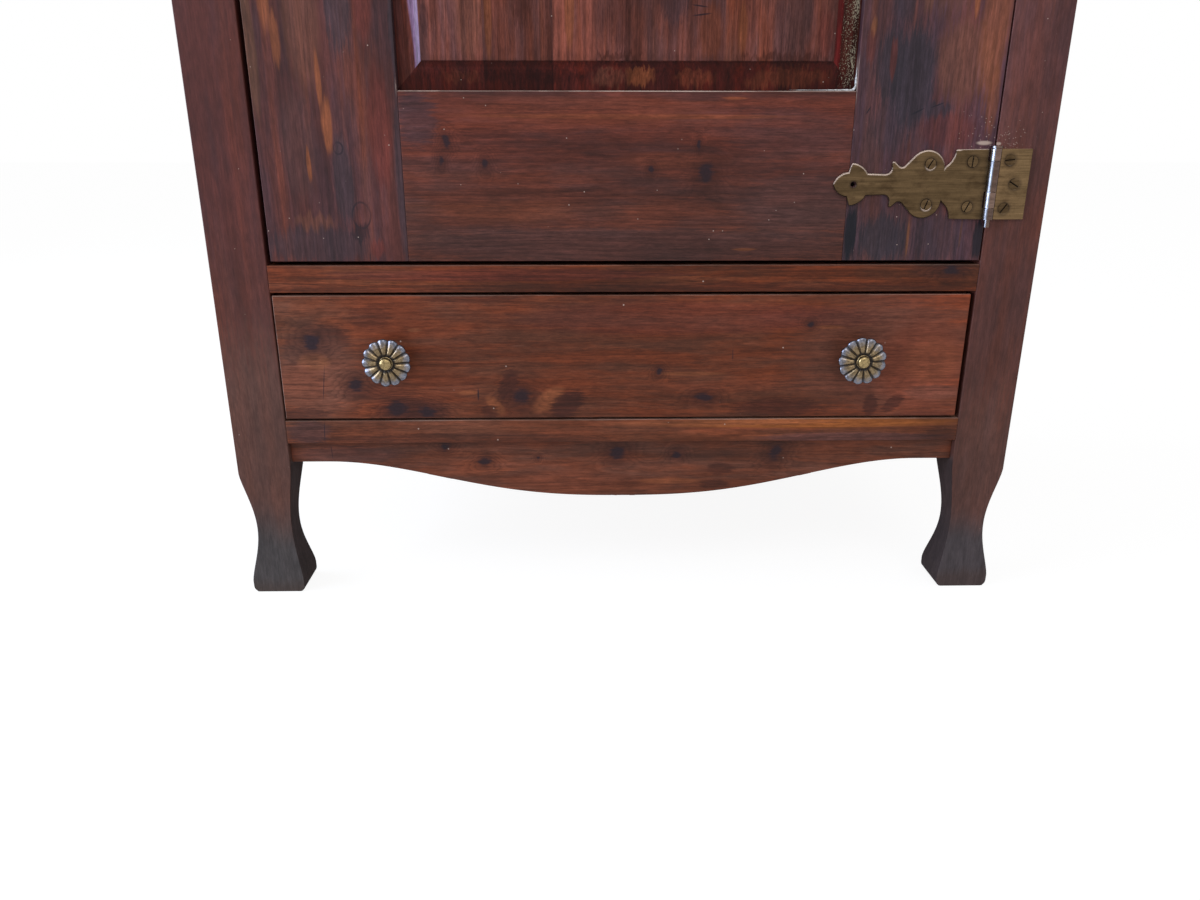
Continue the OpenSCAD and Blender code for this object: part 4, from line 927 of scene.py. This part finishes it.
class WARDROBE_OT_back(bpy.types.Operator):
    """Leave the boards and the rails of the back bare"""

    bl_idname = "wardrobe.back"
    bl_label = "Back"

    def execute(self, context):
        for number in range(4):
            Board(f"back_board_{number + 1}", "Z", "inside", 91 + 6 * number,
                  contrast=0.75, knotty=0.35).dress(0.5)
        for number, place in enumerate(("bottom", "top")):
            Board("back_rail_" + place, "X", "inside", 117 + 6 * number, contrast=0.7, knotty=0.3).dress()
        return {"FINISHED"}


class WARDROBE_OT_top(bpy.types.Operator):
    """Stain the top board and the mitred cornice"""

    bl_idname = "wardrobe.top"
    bl_label = "Top and cornice"

    def execute(self, context):
        grains = {"top_board": "X", "cornice_front": "X", "cornice_left": "Y", "cornice_right": "Y"}
        for number, (node, grain) in enumerate(grains.items()):
            knotty = 0.25 if node == "top_board" else 0.0
            Board(node, grain, "post", 131 + 5 * number, contrast=0.85, knotty=knotty).dress()
        return {"FINISHED"}


class WARDROBE_OT_inside(bpy.types.Operator):
    """Leave the shelf, the floor and their strips bare, and stain the door's stop"""

    bl_idname = "wardrobe.inside"
    bl_label = "Inside"

    def execute(self, context):
        grains = {
            "floor_board": "X", "hat_shelf": "X", "hanging_rod": "X", "rod_sockets": "Z",
            "floor_cleats": "Y", "drawer_runners": "Y", "drawer_guides": "Y",
            "drawer_stops": "X", "shelf_cleats": "Y", "door_stop": "Z",
        }
        for number, (node, grain) in enumerate(grains.items()):
            tone = "post" if node == "door_stop" else "inside"
            knotty = 0.3 if node in ("floor_board", "hat_shelf") else 0.0
            board = Board(node, grain, tone, 151 + 4 * number, contrast=0.6, knotty=knotty)
            board.dress(1.5 if node == "rod_sockets" else 0.6)
        return {"FINISHED"}


def brass(name, screws=(), gain=1.0, wide=None):
    """Aged brass with fine scratches along X, darker around its screws. A hinge gives `wide`: its barrel
    gets a painted grey highlight on the side that faces left, and its upper faces a pale colour, part dust
    and wear and part painted highlight, broad up to X = `wide` and narrow beyond. Sizes in mm."""
    look = bpy.context.scene.brass_finish
    maker = Maker(bpy.data.materials.new(name))
    place = maker.place()
    groove = look.groove
    brush = (place * stretched("X", 26, 0.35)).noise(3, 0.6)
    band = (place * stretched("X", 60, 4.0)).noise()
    cloud = (place * stretched("X", 16, 10)).noise(3, 0.6)
    grit = (place * stretched("X", 0.9, 0.9)).noise()
    shade = brush.step(0.3, 0.7, 0.76, 1.24) * band.step(0.3, 0.7, 0.80, 1.18)
    shade = shade * grit.step(0.3, 0.7, 0.93, 1.06) * gain
    patina = cloud.step(0.46, 0.70, 0.0, 0.55)
    colour = patina.mix(shade * look.plate, shade * look.shade)
    rough = cloud.step(0.3, 0.7, 0.34, 0.48) + brush * 0.08
    for x, z, radius in screws:
        far = place.spot(x, z, radius, radius)
        soft = (far + (cloud - 0.5) * 0.6).step(1.7, 1.0, 0.0, 0.45)
        ring = far.step(1.24, 1.12) * cloud.step(0.40, 0.62, 0.15, 0.8)
        colour = maker.highest(soft, ring).mix(colour, groove)
    deep = place.part("Y")
    hidden = deep.step(PLATES_Y + 0.1 * MM, PLATES_Y + 0.4 * MM)
    if wide is not None:
        proud = deep.step(PLATES_Y - 0.3 * MM, PLATES_Y - 1.2 * MM)
        # Painted highlight: the side of the barrel that faces left is paler grey
        worn = maker.facing("X").step(-0.38, -0.62)
        tube = shade * worn.mix(look.barrel, look.barrel_highlight)
        colour = proud.mix(colour, tube)
        rough = rough - proud * 0.26
        hidden = hidden * maker.facing("Y").step(-0.5, -0.8)
    colour = (hidden * 0.9).mix(colour, groove)
    rough = rough + hidden * 0.3
    if wide is not None:
        # Paler upward-facing faces: part dust and wear, part painted highlight of the light from above
        near = place.part("X").edge(wide - 3, wide + 3)
        up = (maker.facing("Z") - near * 0.45).step(0.05, 0.3) * (1 - proud)
        colour = (up * grit.step(0.3, 0.6, 0.6, 1.0)).mix(colour, look.edge)
        rough = rough + up * 0.15
    return maker.finish(colour, rough, brush * 0.5 + cloud * 0.3, 0.25, 0.15, metallic=1.0)


class WARDROBE_OT_hinges(bpy.types.Operator):
    """Give the strap hinges their aged, brushed brass"""

    bl_idname = "wardrobe.hinges"
    bl_label = "Hinges and their screws"

    def execute(self, context):
        arris = context.scene.brass_finish.arris
        low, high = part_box("hinge_pins")
        axis = (low[0] + high[0]) / 2 / MM
        # Screws and holes of a plate: x from the pin, z from the plate's middle and the radius
        holes = {
            "strap": [(-19.5, 20.5, 5), (-19.5, -20.5, 5), (-59, 18.5, 5), (-59, -18.5, 5), (-130, 0, 3)],
            "leaf": [(15.5, 22, 5), (22.5, 0, 5), (15.5, -22, 5)],
        }
        for plate, gain, rounding in (("strap", 0.9, arris), ("leaf", 1.42, 1.0 * MM)):
            for level in ("lower", "upper"):
                node = f"hinge_{plate}_{level}"
                low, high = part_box(node)
                middle = (low[2] + high[2]) / 2 / MM
                screws = [(axis + x, middle + z, radius) for x, z, radius in holes[plate]]
                metal = brass(node + "_brass", screws, gain=gain, wide=axis - 30)
                dress(node, metal, rounding, axis * MM, 6.4 * MM)
        dress("strap_screws", brass("strap_screw_brass"), 0.12 * MM)
        dress("leaf_screws", brass("leaf_screw_brass", gain=0.8), 0.12 * MM)
        dress("hinge_pins", brass("pin_brass", wide=axis + 20), 0.3 * MM)
        return {"FINISHED"}


def skin(rings, around, turned=False):
    """Four-sided faces that join rings of vertices, each ring to the next."""
    faces = []
    for i in range(rings - 1):
        for j in range(around):
            k = (j + 1) % around
            face = (i * around + j, i * around + k, (i + 1) * around + k, (i + 1) * around + j)
            faces.append((face[0], *face[:0:-1]) if turned else face)
    return faces


def flower(petals, rim, reach, boss):
    """Vertices, faces, relief and rim share of a flower knob that stands on Z = 0."""
    steps = 12
    around = petals * steps
    neck, hollow, base, scallop, swell = 6.4 * MM, 5.6 * MM, 1.5 * MM, 2.2 * MM, 2.4 * MM
    # Stations from foot to button: radius, height, depth of the notches, depth of the grooves
    profile = [(neck + hollow, 0, 0, 0)]
    for i in range(9):
        a = math.radians(270 - 105 * i / 8)
        profile.append((neck + hollow + hollow * math.cos(a), base + hollow + hollow * math.sin(a), 0, 0))
    neck_end = len(profile) - 1
    for share, back, notch, groove in (
        (0.72, 13, 0.25, 0), (0.95, 11.5, 1, 0), (1, 9, 1, 0.3), (0.97, 7.2, 1, 0.8),
        (0.86, 6.2, 0.8, 1), (0.66, 5.2, 0.5, 1), (0.46, 4.6, 0.2, 0.9),
    ):
        profile.append((share * rim, reach - back * MM, notch, groove))
    petal_end = len(profile) - 1
    profile += [(boss + 2.0 * MM, reach - 4.9 * MM, 0, 0.5), (boss + 1.2 * MM, reach - 6 * MM, 0, 0)]
    button = len(profile)
    profile.append((boss, reach - 6 * MM, 0, 0))
    for i in range(7):
        a = math.radians(84 * i / 6)
        profile.append((boss * math.cos(a), reach - 3 * MM * (1 - math.sin(a)), 0, 0))
    # Four smooth steps between the stations of the petals
    rings = []
    for i, here in enumerate(profile[:-1]):
        if not neck_end <= i < petal_end:
            rings.append((here, i))
            continue
        before, after, last = profile[i - 1], profile[i + 1], profile[i + 2]
        for k in range(4):
            t = k / 4
            rings.append((tuple(
                0.5 * (2 * b + (c - a) * t + (2 * a - 5 * b + 4 * c - d) * t * t
                       + (3 * b - a - 3 * c + d) * t ** 3)
                for a, b, c, d in zip(before, here, after, last)
            ), i + t))
    rings.append((profile[-1], len(profile) - 1))
    verts, relief, share = [], [], []
    for (radius, height, notch, groove), station in rings:
        for j in range(around):
            t = (j % steps) / steps
            bulge = math.sin(math.pi * t) ** 0.7 if t else 0.0
            r = radius - scallop * notch * (1 - bulge)
            a = 2 * math.pi * j / around
            verts.append((r * math.cos(a), r * math.sin(a), height - swell * groove * (1 - bulge)))
            share.append(radius / rim)
            if station >= button:
                relief.append(1.0)
            elif station > petal_end:
                relief.append(0.0)
            elif station < neck_end:
                relief.append(0.15)
            else:
                relief.append(min(1.0, 0.12 + 1.1 * bulge) if groove > 0.05 else 0.4 * bulge)
    faces = skin(len(rings), around)
    for ring, height in ((0, 0.0), (len(rings) - 1, reach)):
        tip = len(verts)
        verts.append((0, 0, height))
        relief.append(1.0 if ring else 0.0)
        share.append(0.0)
        for j in range(around):
            a, b = ring * around + j, ring * around + (j + 1) % around
            faces.append((a, b, tip) if ring else (b, a, tip))
    return verts, faces, relief, share


def wood_screw(radius, run):
    """Vertices and faces of a threaded screw that runs down from Z = 0."""
    around, turns, steps, verts = 20, 9, 8, []
    rows = turns * steps
    for i in range(rows + 1):
        z = -run * i / rows
        taper = min(1.0, (run + z) / (0.22 * run) + 0.12)
        for j in range(around):
            wind = (i / steps - j / around) % 1.0
            r = radius * taper * (0.74 + 0.26 * max(0.0, 1 - abs(wind - 0.5) * 3.4))
            a = 2 * math.pi * j / around
            verts.append((r * math.cos(a), r * math.sin(a), z))
    faces = skin(rows + 1, around, turned=True)
    faces.append(tuple(range(around)))
    faces.append(tuple(reversed(range(rows * around, (rows + 1) * around))))
    return verts, faces


def knob_metal():
    """Antique brass: gold petals, greyer at the rim, black in the grooves."""
    look = bpy.context.scene.brass_finish
    maker = Maker(bpy.data.materials.new("knob_brass"))
    place = maker.place()
    relief, share = (
        maker.node("Attribute", {"attribute_name": key}, out="Fac") for key in ("relief", "rim_share")
    )
    cloud, stains = (place * 260.0).noise(3, 0.6), (place * 420.0).noise(3, 0.6)
    grit = (place * 1500.0).noise()
    towards_rim = (share + (cloud - 0.5) * 0.5).step(0.62, 1.0)
    metal = towards_rim.mix(look.gold, look.silver)
    worn = (relief + (cloud - 0.5) * 0.55).step(0.12, 0.95)
    colour = worn.mix(look.groove, metal)
    button = share.step(0.28, 0.24) * worn
    colour = (button * 0.8).mix(colour, look.button)
    colour = colour * grit.step(0.3, 0.7, 0.86, 1.12) * stains.step(0.35, 0.6, 0.6, 1.1)
    rough = worn.step(0.0, 1.0, 0.52, 0.24) + grit * 0.05
    metallic = worn.step(0.0, 0.6, 0.55, 1.0)
    return maker.finish(colour, rough, cloud + grit * 0.4, 0.15, 0.1, metallic)


def flower_knobs(name, places, body, replaced, screw_run, material):
    """One piece for the knobs at the given places on the front, with Z out of the wood."""
    look = bpy.context.scene.brass_finish
    forms = [flower(look.petals, look.knob / 2, look.reach, look.boss)]
    if screw_run:
        screw_v, screw_f = wood_screw(2 * MM, screw_run)
        forms.append((screw_v, screw_f, [0.6] * len(screw_v), [1.0] * len(screw_v)))
    verts, faces, relief, share = [], [], [], []
    for x, y, z in places:
        for form_v, form_f, form_r, form_s in forms:
            start = len(verts)
            verts += [(x + a, y - c, z + b) for a, b, c in form_v]
            faces += [tuple(start + i for i in face) for face in form_f]
            relief += form_r
            share += form_s
    piece = piece_from(name, verts, faces, body, material)
    for key, values in (("relief", relief), ("rim_share", share)):
        piece.data.attributes.new(key, "FLOAT", "POINT").data.foreach_set("value", values)
    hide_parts(replaced)


class WARDROBE_OT_knobs(bpy.types.Operator):
    """Make the flower knobs of the drawer and the door, and dress the latch bar"""

    bl_idname = "wardrobe.knobs"
    bl_label = "Flower knobs and latch"

    def execute(self, context):
        metal = knob_metal()
        low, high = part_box("drawer_front")
        face, z = low[1], (low[2] + high[2]) / 2
        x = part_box("drawer_knobs")[1][0] - context.scene.brass_finish.knob / 2
        places = [(-x, face, z), (x, face, z)]
        flower_knobs("drawer_flower_knobs", places, "drawer", "drawer_knobs", 18 * MM, metal)
        low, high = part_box("latch_bar")
        # A hair's breadth off the door, so that the two faces aren't in one plane
        latch = ((low[0] + high[0]) / 2, face - 0.05 * MM, high[2] - (high[0] - low[0]) / 2)
        flower_knobs("door_flower_knob", [latch], "latch", "door_knob", 0, metal)
        dress("latch_bar", brass("latch_brass"), 0.5 * MM)
        return {"FINISHED"}


class WARDROBE_OT_wax(bpy.types.Operator):
    """Lay the old wax that sits in the lower corner of the door's panel"""

    bl_idname = "wardrobe.wax"
    bl_label = "Old wax at the panel"

    def execute(self, context):
        rng = random.Random(7)
        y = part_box("door_rail_bottom")[0][1] + 2.6 * MM
        corner_x, corner_z = 0.2088, 0.5088
        # Along the rail to the corner, round it, and up the stile
        points = [(corner_x - 0.062 + 0.002 * i, corner_z) for i in range(30)]
        points += [(corner_x - 0.0008 * (3 - k), corner_z + 0.0008 * k) for k in range(4)]
        points += [(corner_x, corner_z + 0.002 * (i + 1)) for i in range(10)]
        last, thickest, around, verts = len(points) - 1, 33, 8, []
        for i, (x, z) in enumerate(points):
            ahead, behind = points[min(i + 1, last)], points[max(i - 1, 0)]
            run = Vector((ahead[0] - behind[0], 0, ahead[1] - behind[1])).normalized()
            out = run.cross(Vector((0, 1, 0)))
            ends = min(i, last - i) / 6
            near = max(0.0, 1 - abs(i - thickest) / 18)
            r = (0.3 + 1.2 * near * rng.uniform(0.6, 1.0)) * min(1.0, ends + 0.05) * MM
            for k in range(around):
                a = 2 * math.pi * k / around
                across = out * (r * math.cos(a) * rng.uniform(0.8, 1.15))
                verts.append(Vector((x, y, z)) + across + Vector((0, r * 1.3 * math.sin(a), 0)))
        faces = skin(len(points), around)
        faces.append(tuple(reversed(range(around))))
        faces.append(tuple(range(last * around, len(points) * around)))
        maker = Maker(bpy.data.materials.new("old_wax"))
        cloud = (maker.place() * 700.0).noise(3)
        colour = maker.ramp(cloud, [(0.35, paint(150, 146, 138)), (0.55, paint(214, 216, 218))])
        material = maker.finish(colour, 0.75, cloud, 0.4, 0.3)
        piece_from("panel_wax", verts, faces, "door", material)
        return {"FINISHED"}


class WARDROBE_OT_stage(bpy.types.Operator):
    """Set the white floor, the soft lights and the camera"""

    bl_idname = "wardrobe.stage"
    bl_label = "Stage"

    def execute(self, context):
        setup = context.scene.stage_setup
        self.floor(setup)
        self.world(setup)
        self.light("window", (-2.2, -0.55, 1.0), (0.0, -0.3, 0.6), 2.6, 1.7, setup.window, (0.68, 0.79, 1.0))
        self.light("ceiling", (0.5, -2.6, 3.0), (0.0, 0.0, 0.7), 2.6, 1.4, setup.ceiling, (1.0, 0.98, 0.95))
        self.camera(setup)
        context.scene.view_settings.view_transform = "Standard"
        return {"FINISHED"}

    @staticmethod
    def put(name, data):
        made = bpy.data.objects.new(name, data)
        bpy.context.collection.objects.link(made)
        return made

    @staticmethod
    def seen(maker):
        """1 for rays that see the background straight on, in gloss or through glass."""
        rays = ("Is Camera Ray", "Is Glossy Ray", "Is Transmission Ray")
        return maker.highest(*[maker.node("LightPath", out=name) for name in rays])

    def floor(self, setup):
        half = setup.floor / 2
        mesh = bpy.data.meshes.new("floor")
        corners = [(-half, -half, 0), (half, -half, 0), (half, half, 0), (-half, half, 0)]
        mesh.from_pydata(corners, [], [(0, 1, 2, 3)])
        maker = Maker(bpy.data.materials.new("white_floor"))
        seen = self.seen(maker)
        # A floor that keeps the shadow: a little of it is matt, the rest shines white
        lit = maker.node("BsdfDiffuse", {}, {"Color": seen.mix((0.45, 0.45, 0.45), (0.9, 0.9, 0.9))})
        white = maker.node("Emission", {}, {"Color": (1, 1, 1), "Strength": 1.08})
        surface = maker.node("MixShader", {}, {0: seen * 0.84, 1: lit, 2: white})
        maker.node("OutputMaterial", {}, {"Surface": surface})
        mesh.materials.append(maker.owner)
        floor = self.put("floor", mesh)

    def world(self, setup):
        world = bpy.context.scene.world = bpy.data.worlds.new("white_room")
        maker = Maker(world)
        strength = self.seen(maker) * (1 - setup.ambient) + setup.ambient
        light = maker.node("Background", {}, {"Color": (1, 1, 1), "Strength": strength})
        maker.node("OutputWorld", {}, {"Surface": light})

    def light(self, name, place, target, width, height, brightness, colour):
        lamp = bpy.data.lights.new(name, "AREA")
        lamp.shape, lamp.size, lamp.size_y = "RECTANGLE", width, height
        lamp.energy, lamp.color = brightness * 4 * width * height, colour
        holder = self.put(name, lamp)
        holder.location = place
        holder.rotation_euler = (Vector(target) - Vector(place)).to_track_quat("-Z", "Y").to_euler()

    def camera(self, setup):
        pitch, yaw, roll = (math.radians(a) for a in CAMERA_TURN)
        ahead = Vector((math.sin(yaw) * math.cos(pitch), math.cos(yaw) * math.cos(pitch), -math.sin(pitch)))
        level = Vector((math.cos(yaw), -math.sin(yaw), 0))
        upright = level.cross(ahead)
        right = level * math.cos(roll) + upright * math.sin(roll)
        up = upright * math.cos(roll) - level * math.sin(roll)
        data = bpy.data.cameras.new("photo_view")
        data.sensor_width, data.lens, data.clip_start = 36.0, setup.lens, 0.02
        camera = self.put("photo_view", data)
        turn = Matrix((right, up, -ahead)).transposed().to_4x4()
        camera.matrix_world = Matrix.Translation(CAMERA_PLACE) @ turn
        bpy.context.scene.camera = camera


STEPS = (
    WARDROBE_OT_posts, WARDROBE_OT_front_rails, WARDROBE_OT_door_frame, WARDROBE_OT_door_panels,
    WARDROBE_OT_drawer, WARDROBE_OT_sides, WARDROBE_OT_back, WARDROBE_OT_top, WARDROBE_OT_inside,
    WARDROBE_OT_hinges, WARDROBE_OT_knobs, WARDROBE_OT_wax, WARDROBE_OT_stage,
)
GROUPS = {"wood_finish": WoodFinish, "brass_finish": BrassFinish, "stage_setup": StageSetup}


class WARDROBE_PT_sidebar(bpy.types.Panel):
    """Lists the finishes and the steps of the wardrobe"""

    bl_idname = "WARDROBE_PT_sidebar"
    bl_label = "Wardrobe"
    bl_space_type = "VIEW_3D"
    bl_region_type = "UI"
    bl_category = "Wardrobe"

    def draw(self, context):
        for name in GROUPS:
            group = getattr(context.scene, name)
            box = self.layout.box()
            box.label(text=name.replace("_", " ").capitalize())
            for key in group.__annotations__:
                box.prop(group, key)
        for step in STEPS:
            self.layout.operator(step.bl_idname)


def register():
    for item in (*GROUPS.values(), *STEPS, WARDROBE_PT_sidebar):
        bpy.utils.register_class(item)
    for name, group in GROUPS.items():
        setattr(bpy.types.Scene, name, PointerProperty(type=group))


def unregister():
    for name in GROUPS:
        delattr(bpy.types.Scene, name)
    for item in reversed((*GROUPS.values(), *STEPS, WARDROBE_PT_sidebar)):
        bpy.utils.unregister_class(item)


def main():
    register()
    for step in STEPS:
        group, name = step.bl_idname.split(".")
        getattr(getattr(bpy.ops, group), name)()


if __name__ == "__main__":
    main()
